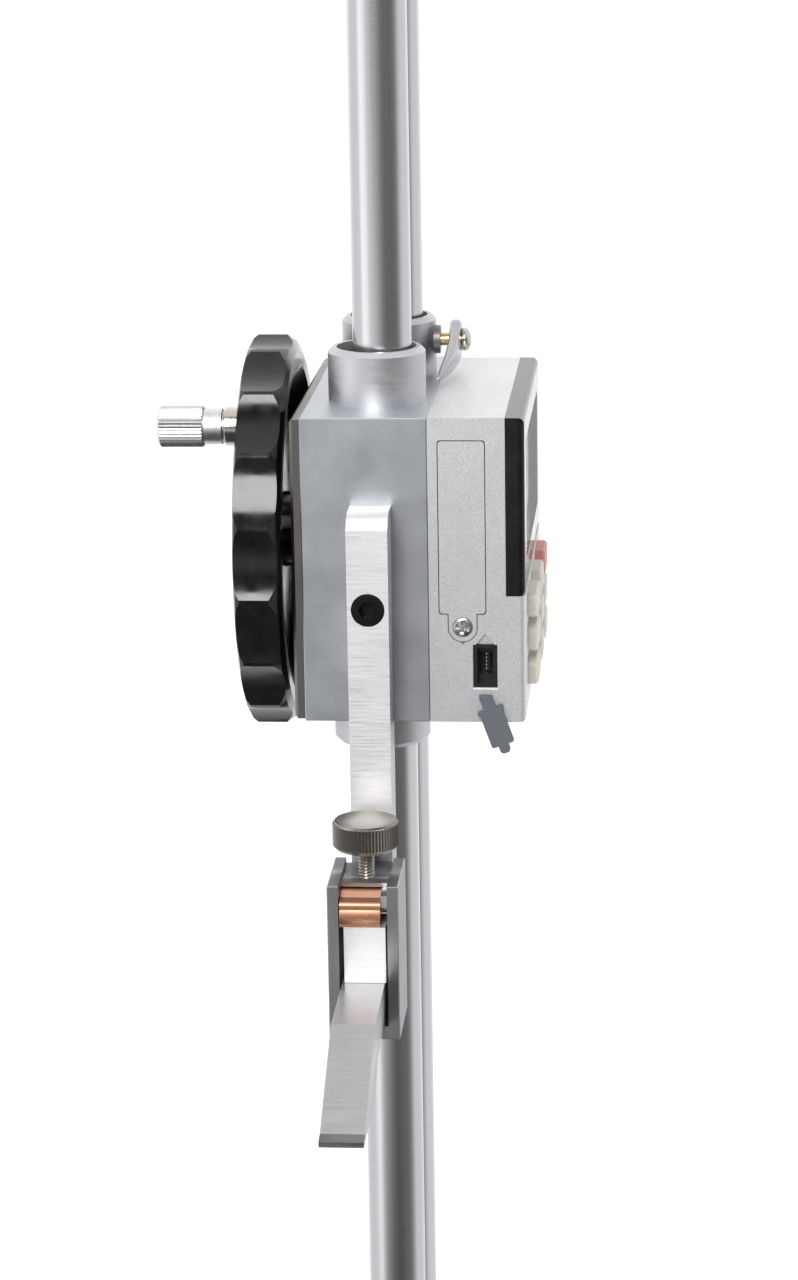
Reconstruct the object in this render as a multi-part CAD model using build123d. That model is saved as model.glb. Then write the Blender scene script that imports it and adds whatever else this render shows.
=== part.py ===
"""Electronic double-column height gauge, 0 to 300 mm, with handwheel and clamped scriber.

Millimetres, +Z up, origin at the centre of the base's underside.  The two columns stand in
line along X.  The scriber points to -X, the display faces -Y and the handwheel is on +Y.
The slider is drawn at rest_reading: its scriber edge stands that far above the surface plate.
"""
from build123d import *
import math
import os

# ------------------------------------------------------------------ driving sizes
# Clearances
running_gap = 0.03          # shaft in bush, radial
seat_gap = 0.05             # spigots, plugs and heads in their seats, radial
cover_gap = 0.25            # round covers and keys
free_gap = 0.5              # parts that pass each other freely

# Stand
measuring_range = 300.0
rest_reading = 205.0
base_length = 132.0         # along X
base_width = 140.0          # along Y
plinth_height = 20.0
base_height = 45.0
tower_length = 104.0        # raised part of the base, at its foot
tower_width = 62.0
tower_draft = 6.0           # how much the tower narrows on each side
base_corner = 12.0
column_diameter = 18.0
column_pitch = 48.0
columns_offset = -16.0      # middle between the columns, from the middle of the base
column_seat_depth = 34.0
column_end_chamfer = 0.8
base_bolt_diameter = 6.0
base_bolt_head = 10.0
base_bolt_head_height = 7.0
base_bolt_recess = 11.0
top_clearance = 26.0        # bracket above the upper collar at full height
bracket_height = 16.0
bracket_wall = 7.0
bracket_slit = 1.6
bracket_screw_radius = 2.0
bracket_head_radius = 3.5
bracket_head_sink = 9.6
bracket_screw_end = -8.0

# Rack and pinion
tooth_module = 1.0
pressure_angle = 20.0
rack_sink = 1.0             # rack's tooth tips inside the rear column's surface
rack_width = 8.0
rack_depth = 5.0
backlash = 0.16
rack_spare = 18.0
pinion_room = 1.0           # between the pinion and the front column
pinion_width = 7.6
shaft_diameter = 10.0
encoder_radius = 15.0
encoder_thickness = 1.2
encoder_offset = 4.0

# Slider block
block_margin = 29.3         # from a column's axis to the block's end
block_height = 93.6
block_wheel_side = 22.9     # +Y face
block_display_side = -15.2  # -Y face
block_chamfer = 0.3
bush_outer = 22.0
bush_length = 18.0
bush_inset = 8.0            # bush below the block's end faces
shaft_drop = 46.05          # handwheel axis below the block's top
chamber_gap = 0.8

# Collars round the columns
collar_diameter = 29.8
collar_bore = 24.4
collar_shift = 1.75         # collars sit off the column's axis, towards the handwheel
front_collar_height = 16.8
rear_collar_height = 18.6
lower_collar_height = 13.2
collar_spigot = 3.5
collar_spigot_diameter = 27.0
collar_chamfer = 1.5
grub_diameter = 1.8
grub_height = 1.6           # above the block's top
grub_angle = 113.0          # degrees round from +X

# Side plate and its screws
plate_thickness = 3.0
plate_margin = 0.6
plate_chamfer = 0.9
plate_screw_diameter = 4.0
plate_screw_head = 7.4
plate_screw_inset = 8.0
plate_screw_grip = 8.0      # in the block
tap_spare = 1.0             # threaded holes beyond their screws
joint_gap = 0.1
shaft_flange = 20.0
shaft_flange_height = 1.6

# Handwheel and crank
wheel_radius = 61.2
wheel_back = 29.2           # Y of the rim's back
wheel_width = 14.4
wheel_rim = 9.5             # radial width of the rim
wheel_web = 5.0
wheel_hub_radius = 11.0
wheel_scallop_count = 17
wheel_scallop_radius = 34.0
wheel_scallop_depth = 2.6
wheel_scallop_angle = 23.0  # degrees up from the -X side
wheel_outer_bevel = 1.9     # along Y
wheel_outer_fall = 2.9      # towards the axis
wheel_inner_bevel = 3.4
wheel_inner_fall = 5.2
bevel_bulge = 0.35          # share of a bevel at which its two facets meet
crank_inset = 9.6           # crank's axis inside the wheel's edge
wheel_land = 8.0            # flat ring of the wheel's face, inwards from the crank's axis
wheel_dish = 3.0            # slope from that ring to the web
crank_angle = 49.7          # degrees up from the -X side
ferrule_diameter = 11.8
ferrule_height = 4.2
crank_groove = 0.7
crank_neck_diameter = 11.0
crank_neck_length = 5.4
crank_grip_diameter = 12.6
crank_grip_length = 14.0
crank_pin_diameter = 5.0
crank_pin_seat = 9.0        # pin in the rim
knurl_count = 36
knurl_depth = 0.3
hub_screw_diameter = 5.0

# Display housing
housing_depth = 29.0        # along -Y
housing_length = 104.0      # along X
housing_wall = 2.2
housing_corner = 1.6
housing_screw_inset = 20.0  # front pair of screws, clear of the battery box
housing_screw_grip = 6.0    # length of thread in the block and in the housing
housing_boss = 3.6          # radius
bezel_thickness = 5.8
bezel_height = 54.4
bezel_corner = 2.0
window_length = 78.0
window_height = 34.0
window_drop = 27.0
lens_thickness = 1.5
lcd_thickness = 2.0
board_thickness = 1.6
board_hole_near = 18.0      # holes from the board's edges
board_hole_side = 14.0
board_hole_low = 16.0
board_hole_radius = 1.6

# Keys
key_column_count = 3
key_row_count = 3
key_first = 15.0            # from the housing's -X end to the first key
key_pitch_x = 27.5
key_length = 19.0
key_pitch_z = 10.6
key_height = 8.2
key_top_drop = 60.9         # centre of the upper row below the block's top
key_proud = 3.2
key_travel = 0.4
key_flange = 1.2
key_inner_reach = 2.9       # back of a key behind the housing's face
switch_diameter = 4.4

# Battery bay, cover and cell
bay_side = 2.9              # cover's edge from the housing's joint with the block
cover_width = 14.4
cover_drop = 6.7
cover_height = 53.4
cover_thickness = 1.5
tongue_width = 9.0
tongue_length = 8.4
tongue_corner = 0.8
cover_screw_diameter = 2.5
cover_screw_head = 5.6
bay_wall = 1.2
cell_diameter = 10.5
cell_length = 44.5
nipple_diameter = 3.8
nipple_height = 1.0
contact_half = 4.0
contact_spring_wide = 3.8
contact_spring_narrow = 2.2

# Data port and its rubber flap
port_side = 13.1
port_width = 7.4
port_gap = 0.9              # port below the cover's tongue
port_height = 13.5
port_depth = 10.5
port_insert_wall = 1.2
port_insert_face = 4.6      # insert's face behind the housing's face
port_tongue_width = 4.1
port_tongue_height = 6.8
port_contact_count = 5
contact_pitch = 1.15
notch_width = 5.8
notch_height = 3.4
flap_drop = 2.6             # flap's pivot below the port
flap_gap = 0.35             # flap off the housing
flap_thickness = 1.4
flap_neck_width = 3.8
flap_neck_length = 3.6
flap_shoulder_width = 8.0
flap_shoulder_length = 1.5
flap_body_width = 7.1
flap_body_length = 12.2
flap_nub_width = 3.2
flap_nub_length = 2.6
flap_lean = 20.0            # degrees that the flap hangs to the -Y side

# Measuring arm
arm_side = 1.9              # centre of the arm, from the columns' plane
arm_width = 12.4
arm_depth = 15.0
arm_drop = 26.6             # arm's top below the block's top
arm_chamfer = 4.4
arm_brow_radius = 6.0       # rounding between the chamfer and the arm's top
foot_bottom_drop = 161.8
foot_height = 17.2
foot_reach = 44.0           # foot's end from the block's front face
arm_screw_drop = 55.2
arm_screw_diameter = 6.0
arm_screw_head = 10.0
arm_screw_head_height = 6.0
arm_screw_grip = 10.0       # in the block
hex_key = 5.0
hex_depth = 3.2

# Scriber clamp
clamp_side = 2.4
clamp_width = 21.2
clamp_inner = 14.5
clamp_back_gap = 0.5        # clamp's back from the arm's face
clamp_rise = 12.7           # clamp's top above the foot
clamp_floor = 4.8
bridge_drop = 1.7           # bridge below the walls' top
bridge_setback = 9.0        # bridge's front edge behind the clamp's front
bridge_thickness = 1.2
boss_diameter = 9.0
boss_height = 2.2
clamp_relief = 1.2
screw_setback = 15.6        # clamp screw's axis behind the clamp's front
clamp_screw_diameter = 5.0
knob_diameter = 20.0
knob_height = 8.7
knob_rise = 9.1             # knob's underside above the bridge
knob_dish = 1.4
knob_ridge_count = 48
pad_width = 12.2
pad_length = 26.0
pad_side = 3.5
pad_play = 0.6              # pad's top below the bridge
pad_step = 1.5
pad_step_setback = 5.0
pad_front_radius = 1.4
leaf_width = 1.8
leaf_thickness = 0.4
leaf_height = 5.5
leaf_length = 14.0

# Scriber
scriber_width = 12.7
scriber_thickness = 13.0
scriber_back = 19.0         # shank's back from the block's front face
scriber_flat_end = 79.0     # where its top starts to slope
scriber_tip = 115.4         # where the carbide starts
scriber_slope = 27.5        # degrees
carbide_length = 4.0
carbide_land = 1.6
heel_start = 70.0           # where its underside starts to drop
heel_end = 84.0
heel_bottom = 8.4           # underside below the shank

# Column lock
lock_drop = -10.6           # stud's axis above the block's top
lock_nut_diameter = 9.0
lock_nut_height = 1.4
lock_stud_diameter = 4.0
lock_stud_gap = 3.4
lock_lever_thickness = 3.6
lock_eye_diameter = 12.4
lock_lever_reach = 27.0
lock_lever_fall = 5.6
lock_lever_end_height = 6.2
lock_lever_end_width = 4.6
lock_lever_bend = 2.6       # how far the tip stands towards the column
lock_lever_straight = 6.0
lock_screw_diameter = 7.6
lock_screw_height = 2.4
shoe_length = 5.0

# ------------------------------------------------------------------ places worked out
column_radius = column_diameter / 2
front_column_x = columns_offset - column_pitch / 2
rear_column_x = columns_offset + column_pitch / 2
column_places = (front_column_x, rear_column_x)

front = front_column_x - block_margin                       # slider's -X face
back = rear_column_x + block_margin
foot_bottom = -foot_bottom_drop
scriber_top = foot_bottom
scriber_bottom = scriber_top - scriber_thickness
scriber_edge = scriber_bottom - heel_bottom
top = rest_reading - scriber_edge                           # block's top face
bottom = top - block_height
travel_down = rest_reading
travel_up = measuring_range - rest_reading

bracket_bottom = top + rear_collar_height + travel_up + top_clearance
bracket_top = bracket_bottom + bracket_height
column_bottom = base_height - column_seat_depth

pinion_teeth = int((column_pitch - column_diameter + rack_sink - pinion_room) / tooth_module)
pinion_pitch_radius = tooth_module * pinion_teeth / 2
pinion_tip_radius = pinion_pitch_radius + tooth_module
rack_tips = rear_column_x - column_radius + rack_sink
rack_back = rack_tips + rack_depth
shaft_x = rack_tips + tooth_module - pinion_pitch_radius
shaft_z = top - shaft_drop
collar_y = collar_shift
plate_inner = block_wheel_side + joint_gap
plate_outer = plate_inner + plate_thickness
wheel_face = wheel_back + wheel_width
wheel_web_back = wheel_back + 4.6
wheel_web_front = wheel_web_back + wheel_web
crank_radius = wheel_radius - crank_inset
housing_joint = block_display_side - joint_gap
housing_face = housing_joint - housing_depth
housing_back = front + housing_length
bezel_inner = housing_face + bezel_thickness
bezel_bottom = top - bezel_height
ends_screw_x = (front + plate_screw_inset, back - plate_screw_inset)
ends_screw_z = (bottom + plate_screw_inset, top - plate_screw_inset)
housing_screw_x = (front + housing_screw_inset, housing_back - plate_screw_inset)
board_y = bezel_inner + housing_wall + 1.0 + board_thickness
port_top = top - cover_drop - cover_height - tongue_length - port_gap

foot_top = top + foot_bottom + foot_height
clamp_back = front - arm_depth - clamp_back_gap
clamp_front = front - foot_reach
clamp_top = foot_top + clamp_rise
floor_top = top + scriber_bottom - seat_gap
clamp_bottom = floor_top - clamp_floor
bridge_top = clamp_top - bridge_drop
bridge_bottom = bridge_top - bridge_thickness
screw_x = clamp_front + screw_setback
pad_top = bridge_bottom - pad_play
pad_low_top = pad_top - pad_step
pocket_floor = bridge_bottom - boss_height - pad_play - 0.3

lock_z = top - lock_drop
collar_side = collar_y - collar_diameter / 2
nut_outer = collar_side - lock_nut_height
lever_inner = nut_outer - lock_stud_gap
lever_outer = lever_inner - lock_lever_thickness
stud_inner = -column_radius - seat_gap - 0.7

PARTS = "parts"
os.makedirs(PARTS, exist_ok=True)


# ------------------------------------------------------------------ small helpers
def box(x, y, z):
    """A box between two limits on each axis."""
    size = [abs(b - a) for a, b in (x, y, z)]
    middle = [(a + b) / 2 for a, b in (x, y, z)]
    return Pos(*middle) * Box(*size)


def rod_z(x, y, radius, z0, z1):
    return Pos(x, y, (z0 + z1) / 2) * Cylinder(radius, abs(z1 - z0))


def rod_y(x, z, radius, y0, y1):
    return Pos(x, (y0 + y1) / 2, z) * Rot(90, 0, 0) * Cylinder(radius, abs(y1 - y0))


def rod_x(y, z, radius, x0, x1):
    return Pos((x0 + x1) / 2, y, z) * Rot(0, 90, 0) * Cylinder(radius, abs(x1 - x0))


def tube_z(x, y, outer, inner, z0, z1):
    overrun = 1.0
    return rod_z(x, y, outer, z0, z1) - rod_z(x, y, inner, z0 - overrun, z1 + overrun)


def profile_y(points, y0, y1):
    """A closed outline of (x, z) points, extruded between two Y values."""
    face = make_face(Plane.XZ * Polyline(*points, close=True))
    return Pos(0, y1, 0) * extrude(face, amount=abs(y1 - y0), dir=(0, -1, 0))


def turned_y(x, z, outline):
    """A closed (radius, y) outline turned about an axis along Y."""
    points = [(radius, y, 0) for radius, y in outline]
    face = make_face(Polyline(*points, close=True))
    return Pos(x, 0, z) * revolve(face, Axis.Y)


def group(pieces):
    return Compound(children=list(pieces))


def save(name, shape):
    shape.label = name
    export_step(shape, os.path.join(PARTS, name + ".step"))


def edges_at(shape, axis, position, direction=None):
    """Edges whose middle lies at one place on an axis."""
    found = shape.edges().filter_by_position(axis, position - 0.01, position + 0.01)
    return found.filter_by(direction) if direction else found


def hex_socket(depth):
    return extrude(RegularPolygon(hex_key / math.sqrt(3), 6), amount=depth)


# ------------------------------------------------------------------ stand
def base_casting():
    plinth = extrude(RectangleRounded(base_length, base_width, base_corner), amount=plinth_height)
    plinth = chamfer(plinth.edges().group_by(Axis.Z)[-1], 3.0)
    foot = Pos(columns_offset, 0, plinth_height - 3.0) * RectangleRounded(
        tower_length, tower_width, base_corner)
    head = Pos(columns_offset, 0, base_height) * RectangleRounded(
        tower_length - 2 * tower_draft, tower_width - 2 * tower_draft, base_corner - tower_draft / 2)
    tower = loft([foot, head])
    limit = box((-base_length / 2, base_length / 2), (-base_width, base_width), (0, base_height))
    casting = (plinth + tower) & limit
    casting = chamfer(casting.edges().group_by(Axis.Z)[0], 1.0)
    for x in column_places:
        casting -= rod_z(x, 0, column_radius + running_gap, column_bottom, base_height + 1)
        casting -= rod_z(x, 0, base_bolt_diameter / 2 + free_gap, -1, column_bottom + 1)
        casting -= rod_z(x, 0, base_bolt_head / 2 + free_gap, -1, base_bolt_head_height)
    return casting


def column(x, top_z):
    bar = rod_z(x, 0, column_radius, column_bottom, top_z)
    bar = chamfer(bar.edges().filter_by(GeomType.CIRCLE), column_end_chamfer)
    thread_depth = base_bolt_recess + 1.0
    return bar - rod_z(x, 0, base_bolt_diameter / 2 + running_gap, column_bottom - 1,
                       column_bottom + thread_depth)


def rack_steps():
    """Tooth spaces below and above the pinion, enough for the whole travel."""
    pitch = math.pi * tooth_module
    return math.ceil((travel_down + rack_spare) / pitch), math.ceil((travel_up + rack_spare) / pitch)


def rack_ends():
    pitch = math.pi * tooth_module
    steps_down, steps_up = rack_steps()
    return shaft_z - (steps_down + 0.5) * pitch, shaft_z + (steps_up + 0.5) * pitch


def rear_column():
    """The rear column has a keyway on its -X side for the rack."""
    low, high = rack_ends()
    half = rack_width / 2 + seat_gap
    keyway = box((rack_tips - column_radius, rack_back), (-half, half), (low - seat_gap, high + seat_gap))
    return column(rear_column_x, bracket_top) - keyway


def rack_bar():
    """A steel rack, seated in the rear column's keyway with its tips inside the round surface."""
    pitch = math.pi * tooth_module
    low, high = rack_ends()
    bar = box((rack_tips, rack_back), (-rack_width / 2, rack_width / 2), (low, high))
    tooth_depth = 2.25 * tooth_module
    slope = math.tan(math.radians(pressure_angle))
    half_at_pitch = (pitch / 2 + backlash) / 2
    half_at_tip = half_at_pitch + tooth_module * slope
    half_at_root = half_at_pitch - (tooth_depth - tooth_module) * slope
    over = 0.2
    half_at_over = half_at_tip + over * slope
    points = [(rack_tips - over, -half_at_over), (rack_tips + tooth_depth, -half_at_root),
              (rack_tips + tooth_depth, half_at_root), (rack_tips - over, half_at_over)]
    space = profile_y(points, -rack_width, rack_width)
    steps_down, steps_up = rack_steps()
    return bar - [Pos(0, 0, shaft_z + step * pitch) * space for step in range(-steps_down, steps_up + 1)]


def top_bracket():
    half = column_radius + bracket_wall
    outline = SlotCenterToCenter(column_pitch, 2 * half)
    bracket = Pos(columns_offset, 0, bracket_bottom) * extrude(outline, amount=bracket_height)
    bracket = chamfer(bracket.edges().group_by(Axis.Z)[-1] + bracket.edges().group_by(Axis.Z)[0], 1.0)
    for x, way in zip(column_places, (-1, 1)):
        bracket -= rod_z(x, 0, column_radius + running_gap, bracket_bottom - 1, bracket_top + 1)
        slit_end = x + way * (half + 1)
        bracket -= box((x, slit_end), (-bracket_slit / 2, bracket_slit / 2),
                       (bracket_bottom - 1, bracket_top + 1))
    for x in bracket_screw_places():
        z = bracket_screw_height()
        bracket -= rod_y(x, z, bracket_screw_radius + seat_gap, -half, half)
        bracket -= rod_y(x, z, bracket_head_radius + seat_gap, half - bracket_head_sink, half + 1)
    return bracket


def bracket_screw_places():
    reach = column_radius + bracket_screw_radius + 1.0
    return (front_column_x - reach, rear_column_x + reach)


def bracket_screw_height():
    return bracket_bottom + bracket_height / 2


def bracket_screws():
    half = column_radius + bracket_wall
    z = bracket_screw_height()
    seat = half - bracket_head_sink
    screws = []
    for x in bracket_screw_places():
        screw = rod_y(x, z, bracket_screw_radius, bracket_screw_end, seat)
        screw += rod_y(x, z, bracket_head_radius, seat, seat + 2 * bracket_screw_radius)
        screws.append(screw)
    return group(screws)


def base_bolts():
    bolts = []
    for x in column_places:
        head = rod_z(x, 0, base_bolt_head / 2, 1.0, base_bolt_head_height)
        head -= Pos(x, 0, 1.0) * hex_socket(hex_depth)
        bolts.append(head + rod_z(x, 0, base_bolt_diameter / 2, base_bolt_head_height,
                                  column_bottom + base_bolt_recess))
    return group(bolts)


# ------------------------------------------------------------------ slider block
def shaft_bore_radius():
    return shaft_diameter / 2 + 3.0


def slider_block():
    solid = box((front, back), (block_display_side, block_wheel_side), (bottom, top))
    solid = chamfer(solid.edges(), block_chamfer)
    for x in column_places:
        solid -= rod_z(x, 0, bush_outer / 2 + running_gap, bottom - 1, top + 1)
        for z, way in ((top, -1), (bottom, 1)):
            solid -= rod_z(x, collar_y, collar_spigot_diameter / 2 + running_gap,
                           z - way, z + way * (collar_spigot + seat_gap))
    chamber = pinion_tip_radius + chamber_gap
    solid -= rod_y(shaft_x, shaft_z, chamber, -pinion_width / 2 - 1, block_wheel_side + 1)
    solid -= rod_y(shaft_x, shaft_z, shaft_bore_radius() + running_gap, block_display_side - 1, 0)
    solid -= rod_x(arm_side, top - arm_screw_drop, arm_screw_diameter / 2 + seat_gap,
                   front - 1, front + arm_screw_grip + 2 * tap_spare)
    for x in ends_screw_x:
        for z in ends_screw_z:
            solid -= rod_y(x, z, plate_screw_diameter / 2 + seat_gap,
                           block_wheel_side + 1, block_wheel_side - plate_screw_grip - tap_spare)
    for x in housing_screw_x:
        for z in ends_screw_z:
            solid -= rod_y(x, z, plate_screw_diameter / 2 + seat_gap,
                           block_display_side - 1, block_display_side + housing_screw_grip + free_gap)
    return solid


def column_bushes():
    """Bronze guide bushes, two on each column."""
    bushes = []
    for x in column_places:
        for z0 in (top - bush_inset - bush_length, bottom + bush_inset):
            bushes.append(tube_z(x, 0, bush_outer / 2, column_radius + running_gap,
                                 z0, z0 + bush_length))
    return group(bushes)


def column_wipers():
    """Felt rings that wipe the columns, between each bush and its collar."""
    rings = []
    for x in column_places:
        for z0 in (top - bush_inset, bottom + collar_spigot + 0.4):
            height = bush_inset - collar_spigot - 0.4
            z_low = z0 if z0 < shaft_z else top - bush_inset
            rings.append(tube_z(x, 0, bush_outer / 2, column_radius + cover_gap, z_low, z_low + height))
    return group(rings)


def collar(x, face, height, way):
    """A turned collar: chamfered rim, wide bore, spigot into the block."""
    end = face + way * height
    ring = rod_z(x, collar_y, collar_diameter / 2, face, end)
    rim = ring.edges().group_by(Axis.Z)[-1 if way > 0 else 0]
    ring = chamfer(rim, collar_chamfer)
    ring += rod_z(x, collar_y, collar_spigot_diameter / 2, face - way * collar_spigot, face)
    bore = rod_z(x, collar_y, collar_bore / 2, face - way * (collar_spigot + 1), end + way)
    return ring - bore


def grub_rod(radius, inner, outer):
    """A rod through the front collar's wall, between two distances from the collar's axis."""
    turn = Pos(front_column_x, collar_y, top + grub_height) * Rot(0, 0, grub_angle)
    return turn * rod_x(0, 0, radius, inner, outer)


def upper_front_collar():
    ring = collar(front_column_x, top, front_collar_height, 1)
    return ring - grub_rod(grub_diameter / 2, collar_bore / 2 - 1, collar_diameter)


def upper_rear_collar():
    ring = collar(rear_column_x, top, rear_collar_height, 1)
    z = top - lock_drop
    inner = collar_y - collar_bore / 2
    return ring - rod_y(rear_column_x, z, lock_stud_diameter / 2 + running_gap,
                        collar_y - collar_diameter, inner + 3)


def lower_collars():
    return group([collar(x, bottom, lower_collar_height, -1) for x in column_places])


def collar_grub_screw():
    """The small brass screw that holds the front collar."""
    return grub_rod(grub_diameter / 2 - running_gap, collar_bore / 2 + 0.2, collar_diameter / 2)


# ------------------------------------------------------------------ wheel side
def wheel_side_plate():
    plate = box((front + plate_margin, back - plate_margin), (plate_inner, plate_outer),
                (bottom + plate_margin, top - plate_margin))
    plate = chamfer(plate.edges().group_by(Axis.Y)[-1], plate_chamfer)
    plate -= rod_y(shaft_x, shaft_z, shaft_bore_radius() + running_gap, plate_inner - 1, plate_outer + 1)
    sink = (plate_screw_head - plate_screw_diameter) / 2
    for x in ends_screw_x:
        for z in ends_screw_z:
            plate -= rod_y(x, z, plate_screw_diameter / 2 + seat_gap, plate_inner - 1, plate_outer + 1)
            cone = Cone(plate_screw_head / 2, plate_screw_diameter / 2, sink)
            plate -= Pos(x, plate_outer - sink / 2, z) * Rot(90, 0, 0) * cone
    return plate


def plate_screws():
    sink = (plate_screw_head - plate_screw_diameter) / 2
    screws = []
    for x in ends_screw_x:
        for z in ends_screw_z:
            cone = Cone(plate_screw_head / 2 - seat_gap, plate_screw_diameter / 2 - seat_gap, sink)
            screw = Pos(x, plate_outer - sink / 2 - seat_gap, z) * Rot(90, 0, 0) * cone
            screw += rod_y(x, z, plate_screw_diameter / 2, block_wheel_side - plate_screw_grip,
                           plate_outer - sink - seat_gap)
            screws.append(screw)
    return group(screws)


def shaft_bushes():
    """A flanged bush in the side plate and a plain one in the block."""
    bore = shaft_diameter / 2 + running_gap
    outer = shaft_bore_radius()
    flange = rod_y(shaft_x, shaft_z, shaft_flange / 2, plate_outer, plate_outer + shaft_flange_height)
    near = flange + rod_y(shaft_x, shaft_z, outer, plate_inner - 6, plate_outer)
    far = rod_y(shaft_x, shaft_z, outer, block_display_side, -pinion_width / 2 - 1)
    cut = rod_y(shaft_x, shaft_z, bore, housing_face, wheel_face)
    return group([near - cut, far - cut])


# ------------------------------------------------------------------ drive
def pinion_outline():
    """Straight-sided approximation of the involute teeth, four points to each tooth."""
    root = pinion_pitch_radius - 1.25 * tooth_module
    pitch_half = (math.pi * tooth_module / 2 - backlash) / 2 / pinion_pitch_radius
    slope = math.tan(math.radians(pressure_angle))
    tip_half = pitch_half - tooth_module * slope / pinion_tip_radius
    root_half = pitch_half + 0.9 * tooth_module * slope / root
    points = []
    for tooth in range(pinion_teeth):
        middle = 2 * math.pi * tooth / pinion_teeth
        for radius, angle in ((root, -root_half), (pinion_pitch_radius, -pitch_half),
                              (pinion_tip_radius, -tip_half), (pinion_tip_radius, tip_half),
                              (pinion_pitch_radius, pitch_half), (root, root_half)):
            points.append((shaft_x + radius * math.cos(middle + angle),
                           shaft_z + radius * math.sin(middle + angle)))
    return points


def drive_pinion():
    gear = profile_y(pinion_outline(), -pinion_width / 2, pinion_width / 2)
    hub = rod_y(shaft_x, shaft_z, shaft_bore_radius(), pinion_width / 2, plate_inner - 6 - free_gap)
    return gear + hub - rod_y(shaft_x, shaft_z, shaft_diameter / 2 + seat_gap, -wheel_face, wheel_face)


def drive_shaft():
    end = housing_joint - encoder_offset
    shaft = rod_y(shaft_x, shaft_z, shaft_diameter / 2, end, wheel_web_front + 1.0)
    shaft = chamfer(shaft.edges().filter_by(GeomType.CIRCLE), 0.5)
    return shaft - rod_y(shaft_x, shaft_z, hub_screw_diameter / 2 + seat_gap,
                         wheel_web_front - 9, wheel_web_front + 2)


def encoder_disc():
    y0 = housing_joint - encoder_offset + 0.6
    disc = rod_y(shaft_x, shaft_z, encoder_radius, y0, y0 + encoder_thickness)
    return disc - rod_y(shaft_x, shaft_z, shaft_diameter / 2 + seat_gap, y0 - 1, y0 + 2 * encoder_thickness)


def handwheel():
    """Moulded wheel: bevelled rim, dished web and hub, then scallops cut round the rim."""
    rim_inner = wheel_radius - wheel_rim
    hub_back = plate_outer + shaft_flange_height + free_gap
    hub_front = wheel_web_front + 2.0
    inner_mid = (wheel_radius - bevel_bulge * wheel_inner_fall, wheel_back + bevel_bulge * wheel_inner_bevel)
    outer_mid = (wheel_radius - bevel_bulge * wheel_outer_fall, wheel_face - bevel_bulge * wheel_outer_bevel)
    outline = [
        (shaft_diameter / 2 + seat_gap, hub_back), (wheel_hub_radius, hub_back),
        (wheel_hub_radius + 1.0, wheel_web_back), (rim_inner - 4.0, wheel_web_back + 1.0),
        (rim_inner, wheel_back), (wheel_radius - wheel_inner_fall, wheel_back), inner_mid,
        (wheel_radius, wheel_back + wheel_inner_bevel), (wheel_radius, wheel_face - wheel_outer_bevel),
        outer_mid, (wheel_radius - wheel_outer_fall, wheel_face), (crank_radius - wheel_land, wheel_face),
        (crank_radius - wheel_land - wheel_dish, wheel_web_front + 0.5), (wheel_hub_radius + 3.0, wheel_web_front),
        (wheel_hub_radius + 2.0, hub_front), (shaft_diameter / 2 + seat_gap, hub_front),
    ]
    wheel = turned_y(shaft_x, shaft_z, outline)
    away = wheel_radius - wheel_scallop_depth + wheel_scallop_radius
    for scallop in range(wheel_scallop_count):
        angle = math.radians(180 - wheel_scallop_angle - scallop * 360 / wheel_scallop_count)
        wheel -= rod_y(shaft_x + away * math.cos(angle), shaft_z + away * math.sin(angle),
                       wheel_scallop_radius, wheel_back - 1, wheel_face + 1)
    crank_x, crank_z = crank_place()
    return wheel - rod_y(crank_x, crank_z, crank_pin_diameter / 2 + seat_gap,
                         wheel_face - crank_pin_seat - seat_gap, wheel_face + 1)


def crank_place():
    angle = math.radians(180 - crank_angle)
    return shaft_x + crank_radius * math.cos(angle), shaft_z + crank_radius * math.sin(angle)


def hub_screw():
    hub_front = wheel_web_front + 2.0
    head = rod_y(shaft_x, shaft_z, 8.0, hub_front, hub_front + 3.0)
    head = chamfer(head.edges().group_by(Axis.Y)[-1], 1.0)
    return head + rod_y(shaft_x, shaft_z, hub_screw_diameter / 2, wheel_web_front - 8, hub_front)


def crank_ferrule():
    x, z = crank_place()
    ring = rod_y(x, z, ferrule_diameter / 2, wheel_face, wheel_face + ferrule_height)
    ring = chamfer(ring.edges().group_by(Axis.Y)[-1], 0.5)
    return ring - rod_y(x, z, crank_pin_diameter / 2 + seat_gap, wheel_face - 1, wheel_face + 9)


def crank_pin():
    x, z = crank_place()
    knob_start = wheel_face + ferrule_height + crank_groove
    pin_end = knob_start + crank_neck_length + crank_grip_length - 3.0
    pin = rod_y(x, z, crank_pin_diameter / 2, wheel_face - crank_pin_seat, pin_end)
    return pin + rod_y(x, z, ferrule_diameter / 2 - 1.2, wheel_face + ferrule_height, knob_start - 0.3)


def knurled(radius, depth, count, height):
    """A toothed disc: shallow V grooves round the edge of a cylinder."""
    points = []
    for step in range(count):
        for fraction, reach in ((0.0, radius), (0.5, radius - depth)):
            angle = 2 * math.pi * (step + fraction) / count
            points.append((reach * math.cos(angle), reach * math.sin(angle)))
    return extrude(make_face(Polyline(*points, close=True)), amount=height)


def crank_knob():
    x, z = crank_place()
    start = wheel_face + ferrule_height + crank_groove
    shoulder = start + crank_neck_length
    end = shoulder + crank_grip_length
    neck = rod_y(x, z, crank_neck_diameter / 2, start, shoulder)
    grip = Pos(x, shoulder, z) * Rot(-90, 0, 0) * knurled(
        crank_grip_diameter / 2, knurl_depth, knurl_count, crank_grip_length)
    limit = rod_y(x, z, crank_grip_diameter / 2, shoulder, end)
    limit = chamfer(limit.edges().filter_by(GeomType.CIRCLE), 0.7)
    bore = rod_y(x, z, crank_pin_diameter / 2 + seat_gap, start - 1, end - 2.8)
    return neck + (grip & limit) - bore


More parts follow.
